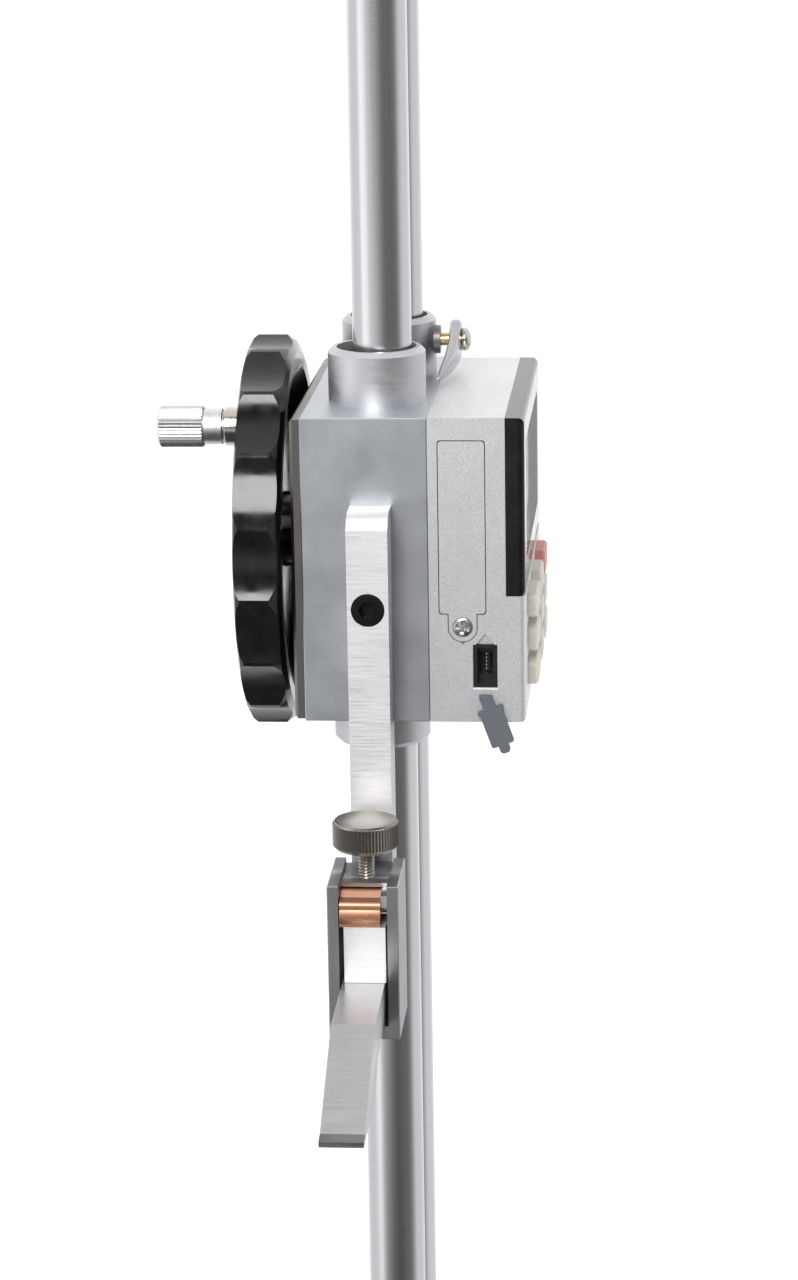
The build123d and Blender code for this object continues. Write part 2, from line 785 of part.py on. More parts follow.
# ------------------------------------------------------------------ display side
def cover_outline(shrink):
    """The battery cover seen from -X, as (y, z): a plate with a round-ended tongue below."""
    side = housing_joint - bay_side - shrink
    far = housing_joint - bay_side - cover_width + shrink
    high = top - cover_drop - shrink
    shoulder = top - cover_drop - cover_height + shrink
    middle = (housing_joint - bay_side) - cover_width / 2
    half = tongue_width / 2 - shrink
    centre_z = shoulder - shrink - tongue_length + half
    plate = Pos((side + far) / 2, (high + shoulder) / 2) * RectangleRounded(
        abs(side - far), high - shoulder, 1.0)
    tongue = Pos(middle, (shoulder + 1 + centre_z) / 2) * Rectangle(2 * half, shoulder + 1 - centre_z)
    return plate + tongue + Pos(middle, centre_z) * Circle(half)


def cover_screw_place():
    middle = housing_joint - bay_side - cover_width / 2
    return middle, top - cover_drop - cover_height - tongue_length + tongue_width / 2


def on_front(sketch, x0, x1):
    """Extrude a (y, z) sketch from x0 to x1."""
    return Plane(origin=(x0, 0, 0), x_dir=(0, 1, 0), z_dir=(1, 0, 0)) * extrude(sketch, amount=x1 - x0)


def key_places():
    for column_number in range(key_column_count):
        for row in range(key_row_count):
            x = front + key_first + key_length / 2 + column_number * key_pitch_x
            yield column_number, row, x, top - key_top_drop - row * key_pitch_z


def key_sketch(grow):
    return RectangleRounded(key_length + 2 * grow, key_height + 2 * grow, 2.6 + grow)


def on_face(sketch, x, z, y0, y1):
    """Extrude an (x, z) sketch from y0 to y1, y0 being the lower."""
    return Pos(x, y1, z) * Rot(90, 0, 0) * extrude(sketch, amount=y1 - y0)


def bay_limits(grow=0.0):
    side = housing_joint - bay_side
    cell_half = cell_length / 2 + nipple_height + 2.2
    middle_z = top - cover_drop - cover_height / 2
    return ((front + cover_thickness, front + cover_thickness + cell_diameter + 3.0 + grow),
            (side - cover_width + 1.0 - grow, side - 1.0 + grow),
            (middle_z - cell_half - grow, middle_z + cell_half + grow))


def port_limits(grow=0.0):
    side = housing_joint - port_side
    return ((side - port_width - grow, side + grow),
            (port_top - port_height - grow, port_top + grow))


def display_housing():
    """A die-cast box, open towards the block, stepped for the bezel."""
    body = box((front, housing_back), (housing_face, housing_joint), (bottom, top))
    body = fillet(edges_at(body, Axis.Y, housing_face), housing_corner)
    hollow = box((front + housing_wall, housing_back - housing_wall),
                 (housing_face + housing_wall, housing_joint + 1),
                 (bottom + housing_wall, top - housing_wall))
    body -= hollow
    # battery box and port block stand inside the front wall
    bay_x, bay_y, bay_z = bay_limits(bay_wall)
    body += box((front + housing_wall / 2, bay_x[1]), bay_y, bay_z)
    port_y, port_z = port_limits(bay_wall)
    body += box((front + housing_wall / 2, front + port_depth + bay_wall), port_y, port_z)
    screw_y, screw_z = cover_screw_place()
    body += rod_x(screw_y, screw_z, cover_screw_diameter, front + housing_wall / 2, front + 8)
    for x in housing_screw_x:
        for z, wall in zip(ends_screw_z, (bottom + housing_wall / 2, top - housing_wall / 2)):
            y_boss = housing_joint - housing_screw_grip - 2
            body += rod_y(x, z, housing_boss, y_boss, housing_joint)
            body += box((x - housing_boss, x + housing_boss), (y_boss, housing_joint), sorted((z, wall)))
            body -= rod_y(x, z, plate_screw_diameter / 2 + seat_gap,
                          housing_joint - housing_screw_grip - free_gap, housing_joint + 1)
    # a ledge carries the bezel
    body += box((front + housing_wall / 2, housing_back - housing_wall / 2),
                (bezel_inner, bezel_inner + housing_wall), (bezel_bottom - housing_wall, top - 1))
    body -= box((front - 1, housing_back + 1), (housing_face - 1, bezel_inner), (bezel_bottom, top + 1))
    window_z = top - window_drop
    body -= on_face(RectangleRounded(window_length + 4, window_height + 4, 2), (front + housing_back) / 2,
                    window_z, bezel_inner - 1, bezel_inner + housing_wall + 1)
    # openings
    body -= on_front(cover_outline(0), front - 1, front + cover_thickness)
    body -= box(*bay_limits())
    body -= rod_x(screw_y, screw_z, cover_screw_diameter / 2 + seat_gap, front - 1, front + 9)
    port_y, port_z = port_limits()
    body -= box((front - 1, front + port_depth), port_y, port_z)
    notch_top = port_z[1] + notch_height
    middle = (port_y[0] + port_y[1]) / 2
    notch = make_face(Polyline((middle - notch_width / 2, port_z[1] - 0.1), (middle, notch_top),
                               (middle + notch_width / 2, port_z[1] - 0.1), close=True))
    body -= on_front(notch, front - 1, front + 1.2)
    for _, _, x, z in key_places():
        body -= on_face(key_sketch(cover_gap), x, z, housing_face - 1, housing_face + housing_wall + 1)
    return body


def display_bezel():
    """The glossy front: a thick moulded plate with a rebate for its clear window."""
    plate = box((front, housing_back), (housing_face, bezel_inner - seat_gap),
                (bezel_bottom + seat_gap, top))
    long_edges = edges_at(plate, Axis.Y, housing_face)
    plate = fillet(long_edges, bezel_corner)
    middle = (front + housing_back) / 2
    z = top - window_drop
    opening = RectangleRounded(window_length, window_height, 2)
    rebate = RectangleRounded(window_length + 3, window_height + 3, 3)
    plate -= on_face(opening, middle, z, housing_face - 1, bezel_inner + 1)
    return plate - on_face(rebate, middle, z, housing_face - 1, housing_face + lens_thickness)


def display_window():
    lens = RectangleRounded(window_length + 3 - 2 * seat_gap, window_height + 3 - 2 * seat_gap, 3)
    return on_face(lens, (front + housing_back) / 2, top - window_drop,
                   housing_face, housing_face + lens_thickness)


def lcd_panel():
    """Liquid-crystal glass on its carrier, pressed against the bezel's back."""
    middle = (front + housing_back) / 2
    z = top - window_drop
    glass = on_face(Rectangle(window_length - 2, window_height - 2), middle, z,
                    bezel_inner - 3.0, bezel_inner - 3.0 + lcd_thickness)
    carrier = on_face(Rectangle(window_length + 2, window_height + 2), middle, z,
                      bezel_inner, bezel_inner + housing_wall + 1.0)
    bridge = on_face(Rectangle(window_length - 6, window_height - 6), middle, z,
                     bezel_inner - 3.0 + lcd_thickness, bezel_inner)
    return glass + carrier + bridge


def main_board():
    """Circuit board behind the LCD, with a tact switch for each key and the scale reader."""
    bay_x, _, _ = bay_limits(bay_wall)
    left = bay_x[1] + free_gap
    board = box((left, housing_back - housing_wall), (board_y - board_thickness, board_y),
                (bottom + housing_wall, top - housing_wall))
    for x in (left + board_hole_near, housing_back - board_hole_side):
        for z in (bottom + board_hole_low, top - board_hole_side):
            board -= rod_y(x, z, board_hole_radius, board_y - 3, board_y + 3)
    reader = box((shaft_x - 4, shaft_x + 4), (board_y, housing_joint - encoder_offset - 0.4),
                 (shaft_z - encoder_radius, shaft_z - encoder_radius + 9))
    switch_front = housing_face + key_inner_reach + key_travel + seat_gap
    for _, _, x, z in key_places():
        if x > left + switch_diameter:
            board += rod_y(x, z, switch_diameter / 2, switch_front, board_y - board_thickness)
    return board + reader


def housing_screws():
    """Studs that hold the housing's four bosses against the block."""
    screws = []
    for x in housing_screw_x:
        for z in ends_screw_z:
            screws.append(rod_y(x, z, plate_screw_diameter / 2, housing_joint - housing_screw_grip,
                                block_display_side + housing_screw_grip))
    return group(screws)


def key(x, z):
    """A key cap with a flange behind the wall, so that it can't fall out."""
    inner = housing_face + key_inner_reach
    cap = on_face(key_sketch(0), x, z, housing_face - key_proud, inner)
    cap = chamfer(edges_at(cap, Axis.Y, housing_face - key_proud), 0.7)
    flange = on_face(key_sketch(key_flange), x, z, housing_face + housing_wall + 0.05, inner)
    return cap + flange


def battery_cover():
    cover = on_front(cover_outline(cover_gap), front, front + cover_thickness - seat_gap)
    y, z = cover_screw_place()
    return cover - rod_x(y, z, cover_screw_diameter / 2 + seat_gap, front - 1, front + 3) \
        - rod_x(y, z, cover_screw_head / 2 + seat_gap, front - 1, front + 0.7)


def battery_cover_screw():
    y, z = cover_screw_place()
    head = rod_x(y, z, cover_screw_head / 2, front - 0.5, front + 0.7)
    head = chamfer(head.edges().group_by(Axis.X)[0], 0.3)
    return head + rod_x(y, z, cover_screw_diameter / 2, front + 0.7, front + 7)


def battery():
    x_limits, y_limits, z_limits = bay_limits()
    x = sum(x_limits) / 2
    y = sum(y_limits) / 2
    z = sum(z_limits) / 2
    cell = rod_z(x, y, cell_diameter / 2, z - cell_length / 2, z + cell_length / 2)
    cell = chamfer(cell.edges().filter_by(GeomType.CIRCLE), 0.4)
    return cell + rod_z(x, y, nipple_diameter / 2, z + cell_length / 2,
                        z + cell_length / 2 + nipple_height)


def battery_contacts():
    """A sprung plate below the cell and a plain plate above it."""
    x_limits, y_limits, z_limits = bay_limits()
    x = sum(x_limits) / 2
    y = sum(y_limits) / 2
    z = sum(z_limits) / 2
    cell_low = z - cell_length / 2
    cell_high = z + cell_length / 2 + nipple_height
    plain = box((x - contact_half, x + contact_half), (y - contact_half, y + contact_half),
                (cell_high, z_limits[1]))
    spring = Pos(x, y, (cell_low + z_limits[0]) / 2) * Cone(
        contact_spring_wide, contact_spring_narrow, cell_low - z_limits[0])
    return group([plain, spring])


def port_socket():
    """Black moulded insert with a slot for the plug and a tongue of contacts."""
    y_limits, z_limits = port_limits(-seat_gap)
    face = front + port_insert_face
    insert = box((face, front + port_depth), y_limits, z_limits)
    y = sum(y_limits) / 2
    z = sum(z_limits) / 2
    slot = box((face - 1, front + port_depth - 1.5),
               (y - port_tongue_width / 2, y + port_tongue_width / 2),
               (z - port_tongue_height / 2, z + port_tongue_height / 2))
    tongue = box((face + 1.5, front + port_depth - 1.4), (y - 1.2, y - 0.2),
                 (z - port_tongue_height / 2 + 0.3, z + port_tongue_height / 2 - 0.3))
    rim = box((front + 0.6, face), y_limits, z_limits) - box(
        (front, face + 1), (y_limits[0] + port_insert_wall, y_limits[1] - port_insert_wall),
        (z_limits[0] + port_insert_wall, z_limits[1] - port_insert_wall))
    return insert - slot + tongue + rim


def port_pins():
    y_limits, z_limits = port_limits(-seat_gap)
    y = sum(y_limits) / 2 - 0.2
    z = sum(z_limits) / 2
    pins = []
    for number in range(port_contact_count):
        pin_z = z + (number - (port_contact_count - 1) / 2) * contact_pitch
        pins.append(box((front + port_insert_face + 1.9, front + port_depth - 1.5), (y, y + 0.35),
                        (pin_z - 0.3, pin_z + 0.3)))
    return group(pins)


def flap_root():
    y_limits, z_limits = port_limits()
    return sum(y_limits) / 2, z_limits[0] - flap_drop


def port_flap():
    """The rubber flap hangs from a round bead, just below the port."""
    y, z = flap_root()
    outer = front - flap_gap - flap_thickness
    middle = outer + flap_thickness / 2
    body_top = -flap_neck_length
    body_bottom = body_top - flap_body_length
    neck = Pos(0, body_top / 2) * Rectangle(flap_neck_width, flap_neck_length)
    shoulder = Pos(0, body_top - flap_shoulder_length / 2) * RectangleRounded(
        flap_shoulder_width, flap_shoulder_length, 0.5)
    body = Pos(0, (body_top + body_bottom) / 2) * RectangleRounded(flap_body_width, flap_body_length, 0.7)
    nub = Pos(0, body_bottom - flap_nub_length / 2 + 0.5) * RectangleRounded(
        flap_nub_width, flap_nub_length + 1, 1.2)
    sketch = Pos(y, z) * Rot(0, 0, -flap_lean) * (neck + shoulder + body + nub)
    bead = rod_y(middle, z, flap_thickness / 2, y - flap_neck_width / 2, y + flap_neck_width / 2)
    return on_front(sketch, outer, outer + flap_thickness) + bead


# ------------------------------------------------------------------ measuring arm and clamp
def measuring_arm():
    """L-shaped ground bar: the upright is screwed to the block, the foot carries the clamp."""
    face = front - arm_depth
    end = front - foot_reach
    arm_top = top - arm_drop
    foot_low = top + foot_bottom
    foot_high = foot_low + foot_height
    points = [(front - joint_gap, foot_low), (front - joint_gap, arm_top),
              (face + arm_chamfer, arm_top), (face, arm_top - arm_chamfer),
              (face, foot_high), (end, foot_high), (end, foot_low)]
    arm = profile_y(points, arm_side - arm_width / 2, arm_side + arm_width / 2)
    brow = arm.edges().filter_by(Axis.Y).sort_by_distance((face + arm_chamfer, arm_side, arm_top))[0]
    arm = fillet(brow, arm_brow_radius)
    z = top - arm_screw_drop
    arm -= rod_x(arm_side, z, arm_screw_diameter / 2 + seat_gap, face - 1, front + 1)
    return arm - rod_x(arm_side, z, arm_screw_head / 2 + seat_gap, face - 1, face + arm_screw_head_height)


def arm_screw():
    face = front - arm_depth
    z = top - arm_screw_drop
    head = rod_x(arm_side, z, arm_screw_head / 2, face - 0.2, face + arm_screw_head_height)
    head = chamfer(head.edges().group_by(Axis.X)[0], 0.5)
    socket = Plane(origin=(face - 0.2, arm_side, z), x_dir=(0, 1, 0), z_dir=(1, 0, 0)) * hex_socket(hex_depth)
    shank = rod_x(arm_side, z, arm_screw_diameter / 2, face + arm_screw_head_height, front + arm_screw_grip)
    return head - socket + shank


def clamp_yoke():
    """A closed box round the foot and the scriber, with a thin bridge and a threaded boss."""
    outer = (clamp_side - clamp_width / 2, clamp_side + clamp_width / 2)
    inner = (clamp_side - clamp_inner / 2, clamp_side + clamp_inner / 2)
    yoke = box((clamp_front, clamp_back), outer, (clamp_bottom, clamp_top))
    yoke = chamfer(yoke.edges(), 0.3)
    yoke -= box((clamp_front - 1, clamp_back + 1), inner, (floor_top, bridge_bottom))
    yoke -= box((clamp_front - 1, clamp_back + 1), inner, (bridge_top, clamp_top + 1))
    yoke -= box((clamp_front - 1, clamp_front + bridge_setback), inner, (floor_top, clamp_top + 1))
    for y in (inner[0] + clamp_relief / 2, inner[1] - clamp_relief / 2):
        yoke -= box((clamp_front - 1, clamp_back + 1), (y - clamp_relief / 2, y + clamp_relief / 2),
                    (floor_top - 0.6, floor_top + 2.6))
    yoke += rod_z(screw_x, clamp_side, boss_diameter / 2, bridge_bottom - boss_height, bridge_bottom)
    return yoke - rod_z(screw_x, clamp_side, clamp_screw_diameter / 2 + seat_gap,
                        bridge_bottom - boss_height - 1, bridge_top + 1)


def pressure_pad():
    """Copper pad between the clamp screw and the foot, with a stepped and rounded nose."""
    nose = clamp_front + 0.3
    tail = nose + pad_length
    step = clamp_front + pad_step_setback
    low = foot_top + 0.02
    points = [(nose, low), (tail, low), (tail, pad_top), (step + 1.6, pad_top),
              (step, pad_low_top), (nose, pad_low_top)]
    centre = clamp_side + clamp_inner / 2 - 0.3 - pad_width / 2
    pad = profile_y(points, centre - pad_width / 2, centre + pad_width / 2)
    front_edge = pad.edges().filter_by(Axis.Y).sort_by_distance((nose, centre, pad_low_top))[0]
    pad = fillet(front_edge, pad_front_radius)
    return pad - rod_z(screw_x, clamp_side, boss_diameter / 2 + free_gap, pocket_floor, pad_top + 1)


def pad_leaf():
    """A bent leaf of spring steel that keeps the pad against one wall of the clamp."""
    inner = clamp_side - clamp_inner / 2
    pad_edge = clamp_side + clamp_inner / 2 - 0.3 - pad_width
    y0 = inner + 0.02
    y1 = pad_edge - 0.05
    nose = clamp_front + 0.8
    upper = bridge_bottom - 0.1
    lower = upper - leaf_height
    back_x = nose + leaf_length
    middle = (upper + lower) / 2
    leaf = box((nose, back_x), (y0, y1), (upper - leaf_thickness, upper))
    leaf += box((nose, back_x), (y0, y1), (lower, lower + leaf_thickness))
    leaf += box((back_x - leaf_thickness, back_x), (y0, y1), (lower, upper))
    return leaf + box((nose + 0.6, nose + 0.6 + leaf_thickness), (y0, y1), (middle - 1.2, upper))


def clamp_screw():
    """Thumbscrew with a dished, knurled head."""
    low = bridge_top + knob_rise
    high = low + knob_height
    radius = knob_diameter / 2
    head = Pos(screw_x, clamp_side, low) * knurled(radius, knurl_depth + 0.1, knob_ridge_count, knob_height)
    limit = rod_z(screw_x, clamp_side, radius, low, high)
    limit = chamfer(limit.edges().filter_by(GeomType.CIRCLE), 0.9)
    head = head & limit
    dish = rod_z(screw_x, clamp_side, radius - 2.0, high - knob_dish, high + 1)
    dish = chamfer(dish.edges().group_by(Axis.Z)[0], knob_dish * 0.8)
    shank = rod_z(screw_x, clamp_side, clamp_screw_diameter / 2, pocket_floor + 0.02, low)
    return head - dish + shank


def scriber():
    """Offset scriber: square shank, sloping nose, heel dropped below the shank."""
    z_top = top + scriber_top
    z_low = top + scriber_bottom
    z_heel = top + scriber_edge
    tip = front - scriber_tip
    tip_top = z_top - (scriber_tip - scriber_flat_end) * math.tan(math.radians(scriber_slope))
    points = [(front - scriber_back, z_low), (front - scriber_back, z_top - joint_gap),
              (front - scriber_flat_end, z_top - joint_gap), (tip, tip_top), (tip, z_heel),
              (front - heel_end, z_heel), (front - heel_start, z_low)]
    return profile_y(points, scriber_sides()[0], scriber_sides()[1])


def scriber_sides():
    middle = clamp_side + 0.1
    return middle - scriber_width / 2, middle + scriber_width / 2


def carbide_tip():
    z_top = top + scriber_top
    z_heel = top + scriber_edge
    tip = front - scriber_tip
    tip_top = z_top - (scriber_tip - scriber_flat_end) * math.tan(math.radians(scriber_slope))
    points = [(tip, tip_top), (tip - carbide_length, z_heel + carbide_land),
              (tip - carbide_length, z_heel), (tip, z_heel)]
    return profile_y(points, scriber_sides()[0], scriber_sides()[1])


# ------------------------------------------------------------------ column lock
def lock_nut():
    """Round spacer on the collar; its back is hollowed to the collar's curve."""
    nut = rod_y(rear_column_x, lock_z, lock_nut_diameter / 2, nut_outer, collar_side + 1.2)
    nut -= rod_z(rear_column_x, collar_y, collar_diameter / 2 + 0.01, top, top + 2 * rear_collar_height)
    return nut - rod_y(rear_column_x, lock_z, lock_stud_diameter / 2 + running_gap, lever_outer, 0)


def brake_shoe():
    """The bronze shoe between the collar's bore and the rear column."""
    shoe = box((rear_column_x - shoe_length / 2, rear_column_x + shoe_length / 2),
               (-collar_diameter, 0), (lock_z - shoe_length, lock_z + shoe_length))
    shoe &= rod_z(rear_column_x, collar_y, collar_bore / 2 - seat_gap, top, top + 2 * rear_collar_height)
    shoe -= rod_z(rear_column_x, 0, column_radius + seat_gap, top - 1, top + 2 * rear_collar_height)
    return shoe - rod_y(rear_column_x, lock_z, lock_stud_diameter / 2 + seat_gap,
                        -collar_diameter, stud_inner)


def lock_stud():
    return rod_y(rear_column_x, lock_z, lock_stud_diameter / 2, lever_outer - 0.3,
                 stud_inner - running_gap)


def lock_lever():
    """Lever with a round eye and a falling arm, whose tip bends in towards the column."""
    tip = rear_column_x - lock_lever_reach
    bend_start = rear_column_x - lock_lever_straight
    eye_half = lock_eye_diameter / 2
    low = lock_z - lock_lever_fall - lock_lever_end_height / 2
    high = low + lock_lever_end_height
    arm = profile_y([(rear_column_x, lock_z + eye_half), (tip, high), (tip, low),
                     (rear_column_x, lock_z - eye_half)], lever_outer - 10, lever_inner + 10)
    arm = fillet(edges_at(arm, Axis.X, tip), 1.5)
    side = arm + rod_y(rear_column_x, lock_z, eye_half, lever_outer - 10, lever_inner + 10)

    spare = (lock_lever_end_width - lock_lever_thickness) / 2
    tip_outer = lever_outer + lock_lever_bend - spare
    tip_inner = lever_inner + lock_lever_bend + spare
    middle = (bend_start + tip) / 2
    rear = rear_column_x + eye_half + 1
    plan = [Line((rear, lever_inner), (bend_start, lever_inner)),
            ThreePointArc((bend_start, lever_inner), (middle, lever_inner + (tip_inner - lever_inner) * 0.3),
                          (tip - 1, tip_inner)),
            Line((tip - 1, tip_inner), (tip - 1, tip_outer)),
            ThreePointArc((tip - 1, tip_outer), (middle, lever_outer + (tip_outer - lever_outer) * 0.3),
                          (bend_start, lever_outer)),
            Line((bend_start, lever_outer), (rear, lever_outer)), Line((rear, lever_outer), (rear, lever_inner))]
    band = Pos(0, 0, low - 10) * extrude(make_face(Wire(plan)), amount=3 * lock_eye_diameter)
    return (side & band) - rod_y(rear_column_x, lock_z, lock_stud_diameter / 2 + seat_gap,
                                 lever_outer - 1, lever_inner + 1)


def lock_screw():
    """Domed screw head that holds the lever on its stud."""
    start = lever_outer - 0.35
    head = rod_y(rear_column_x, lock_z, lock_screw_diameter / 2, start - lock_screw_height, start)
    return chamfer(head.edges().group_by(Axis.Y)[0], lock_screw_height * 0.55)


# ------------------------------------------------------------------ write every node
def build_all():
    nodes = {
        "base_casting": base_casting(),
        "front_column": column(front_column_x, bracket_top),
        "rear_column": rear_column(),
        "rack_bar": rack_bar(),
        "top_bracket": top_bracket(),
        "bracket_screws": bracket_screws(),
        "base_bolts": base_bolts(),
        "slider_block": slider_block(),
        "column_bushes": column_bushes(),
        "column_wipers": column_wipers(),
        "upper_front_collar": upper_front_collar(),
        "upper_rear_collar": upper_rear_collar(),
        "lower_collars": lower_collars(),
        "collar_grub_screw": collar_grub_screw(),
        "wheel_side_plate": wheel_side_plate(),
        "plate_screws": plate_screws(),
        "shaft_bushes": shaft_bushes(),
        "drive_pinion": drive_pinion(),
        "drive_shaft": drive_shaft(),
        "encoder_disc": encoder_disc(),
        "handwheel": handwheel(),
        "hub_screw": hub_screw(),
        "crank_ferrule": crank_ferrule(),
        "crank_pin": crank_pin(),
        "crank_knob": crank_knob(),
        "display_housing": display_housing(),
        "display_bezel": display_bezel(),
        "display_window": display_window(),
        "lcd_panel": lcd_panel(),
        "main_board": main_board(),
        "housing_screws": housing_screws(),
        "battery_cover": battery_cover(),
        "battery_cover_screw": battery_cover_screw(),
        "battery": battery(),
        "battery_contacts": battery_contacts(),
        "port_socket": port_socket(),
        "port_pins": port_pins(),
        "port_flap": port_flap(),
        "measuring_arm": measuring_arm(),
        "arm_screw": arm_screw(),
        "clamp_yoke": clamp_yoke(),
        "pressure_pad": pressure_pad(),
        "pad_leaf": pad_leaf(),
        "clamp_screw": clamp_screw(),
        "scriber": scriber(),
        "carbide_tip": carbide_tip(),
        "lock_nut": lock_nut(),
        "brake_shoe": brake_shoe(),
        "lock_stud": lock_stud(),
        "lock_lever": lock_lever(),
        "lock_screw": lock_screw(),
    }
    for column_number, row, x, z in key_places():
        if (column_number, row) == (key_column_count - 1, 0):
            name = "power_key"
        else:
            name = f"key_{column_number + 1}_{row + 1}"
        nodes[name] = key(x, z)
    for name, shape in nodes.items():
        save(name, shape)


build_all()
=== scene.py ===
"""Looks for the double-column height gauge: materials, small details, light and camera.

Everything is in metres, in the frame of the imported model.
"""
import math

import bpy
from mathutils import Matrix, Vector


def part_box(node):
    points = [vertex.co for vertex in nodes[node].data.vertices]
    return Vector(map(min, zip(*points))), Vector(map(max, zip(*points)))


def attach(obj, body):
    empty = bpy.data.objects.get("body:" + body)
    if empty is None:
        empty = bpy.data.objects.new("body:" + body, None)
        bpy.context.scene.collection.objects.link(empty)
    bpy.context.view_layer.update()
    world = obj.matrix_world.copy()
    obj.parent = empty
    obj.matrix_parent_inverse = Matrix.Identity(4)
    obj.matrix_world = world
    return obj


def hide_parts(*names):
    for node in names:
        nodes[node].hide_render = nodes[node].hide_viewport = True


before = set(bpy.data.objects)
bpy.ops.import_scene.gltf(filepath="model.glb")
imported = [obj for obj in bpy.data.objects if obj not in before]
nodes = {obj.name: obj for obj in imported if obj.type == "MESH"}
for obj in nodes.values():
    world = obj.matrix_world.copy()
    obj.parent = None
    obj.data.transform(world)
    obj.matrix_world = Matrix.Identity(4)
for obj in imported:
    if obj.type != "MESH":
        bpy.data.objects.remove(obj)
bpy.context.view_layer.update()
MM = 0.001
X, Y, Z = 0, 1, 2


# ------------------------------------------------------------------ places, read from the frame
def middle(node):
    """Centre of a node's box at rest."""
    low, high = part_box(node)
    return (low + high) / 2


def lowest(node, axis):
    """A node's lowest coordinate on an axis."""
    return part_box(node)[0][axis]


FRONT_COLUMN = middle("front_column")
REAR_COLUMN = Vector((middle("lock_screw").x, 0, 0))
WHEEL = middle("handwheel")
THUMB = middle("clamp_screw")
COLLAR_FRONT = middle("upper_front_collar")
COLLAR_REAR = middle("upper_rear_collar")


# ------------------------------------------------------------------ material helpers
NOISE_LOW, NOISE_HIGH = 0.3, 0.7        # where nearly all of a noise texture's values lie


class Look:
    """A principled material with short ways to add procedural detail."""

    def __init__(self, name, color, metallic, roughness, **sockets):
        self.material = bpy.data.materials.new(name)
        self.material.use_nodes = True
        self.tree = self.material.node_tree
        self.tree.nodes.clear()
        output = self.node("OutputMaterial")
        self.shader = self.node("BsdfPrincipled")
        self.link(self.shader.outputs["BSDF"], output.inputs["Surface"])
        self.shader.inputs["Base Color"].default_value = (*color, 1)
        self.shader.inputs["Metallic"].default_value = metallic
        self.shader.inputs["Roughness"].default_value = roughness
        for socket, value in sockets.items():
            self.shader.inputs[socket.replace("_", " ")].default_value = value
        self.normal = None
        self.coordinates = self.node("TexCoord").outputs["Object"]

    def link(self, a, b):
        self.tree.links.new(a, b)

    def node(self, kind, **settings):
        made = self.tree.nodes.new("ShaderNode" + kind)
        for name, value in settings.items():
            setattr(made, name, value)
        return made

    def scaled(self, scale):
        """Coordinates multiplied by a scale on each axis."""
        mapping = self.node("Mapping")
        mapping.inputs["Scale"].default_value = scale
        self.link(self.coordinates, mapping.inputs["Vector"])
        return mapping.outputs["Vector"]

    def round_about(self, centre, axis, along, around, outward):
        """Coordinates (outward, around, along) of a turned part about an axis."""
        moved = self.node("VectorMath", operation="SUBTRACT")
        self.link(self.coordinates, moved.inputs[0])
        moved.inputs[1].default_value = tuple(centre)
        parts = self.node("SeparateXYZ")
        self.link(moved.outputs["Vector"], parts.inputs[0])
        names = "XYZ"
        first, second = [names[i] for i in range(3) if i != axis]
        flat = self.node("CombineXYZ")
        self.link(parts.outputs[first], flat.inputs[0])
        self.link(parts.outputs[second], flat.inputs[1])
        length = self.node("VectorMath", operation="LENGTH")
        self.link(flat.outputs[0], length.inputs[0])
        turn = self.math("ARCTAN2", parts.outputs[first], parts.outputs[second])
        joined = self.node("CombineXYZ")
        self.link(self.math("MULTIPLY", length.outputs["Value"], outward), joined.inputs[0])
        self.link(self.math("MULTIPLY", turn, around), joined.inputs[1])
        self.link(self.math("MULTIPLY", parts.outputs[names[axis]], along), joined.inputs[2])
        return joined.outputs[0]

    def math(self, operation, a, b):
        """The result of a math node on two sockets or numbers."""
        made = self.node("Math", operation=operation)
        for socket, value in zip(made.inputs, (a, b)):
            if isinstance(value, (int, float)):
                socket.default_value = value
            else:
                self.link(value, socket)
        return made.outputs[0]

    def noise(self, vector, scale=1.0, detail=4.0, roughness=0.55):
        """Noise with a number of cells per unit of the vector."""
        made = self.node("TexNoise")
        made.inputs["Scale"].default_value = scale
        made.inputs["Detail"].default_value = detail
        made.inputs["Roughness"].default_value = roughness
        self.link(vector, made.inputs["Vector"])
        return made.outputs["Fac"]

    def cells(self, vector, scale):
        """A random colour for each cell."""
        made = self.node("TexVoronoi")
        made.inputs["Scale"].default_value = scale
        self.link(vector, made.inputs["Vector"])
        return made.outputs["Color"]

    def ramp(self, source, stops):
        """A colour ramp with stops of (place, colour or grey level)."""
        made = self.node("ValToRGB")
        points = made.color_ramp.elements
        while len(points) < len(stops):
            points.new(0.5)
        for point, (place, value) in zip(points, stops):
            point.position = place
            point.color = (*value, 1) if hasattr(value, "__len__") else (value, value, value, 1)
        self.link(source, made.inputs["Fac"])
        return made.outputs["Color"]

    def tint(self, source, low, high):
        """Base colour goes from low to high over the noise's usual range."""
        color = self.ramp(source, [(NOISE_LOW, low), (NOISE_HIGH, high)])
        self.link(color, self.shader.inputs["Base Color"])
        return color

    def multiply(self, color, factor_source, low, high):
        """Base colour is the given colour, darkened by a factor from low to high."""
        factor = self.ramp(factor_source, [(NOISE_LOW, low), (NOISE_HIGH, high)])
        mix = self.node("Mix", data_type="RGBA", blend_type="MULTIPLY")
        mix.inputs["Factor"].default_value = 1.0
        self.link(color, mix.inputs["A"])
        self.link(factor, mix.inputs["B"])
        self.link(mix.outputs["Result"], self.shader.inputs["Base Color"])

    def rough(self, source, low, high):
        """Roughness goes from low to high over the noise's usual range."""
        spread = self.node("MapRange")
        spread.inputs["From Min"].default_value = NOISE_LOW
        spread.inputs["From Max"].default_value = NOISE_HIGH
        spread.inputs["To Min"].default_value = low
        spread.inputs["To Max"].default_value = high
        self.link(source, spread.inputs["Value"])
        self.link(spread.outputs["Result"], self.shader.inputs["Roughness"])

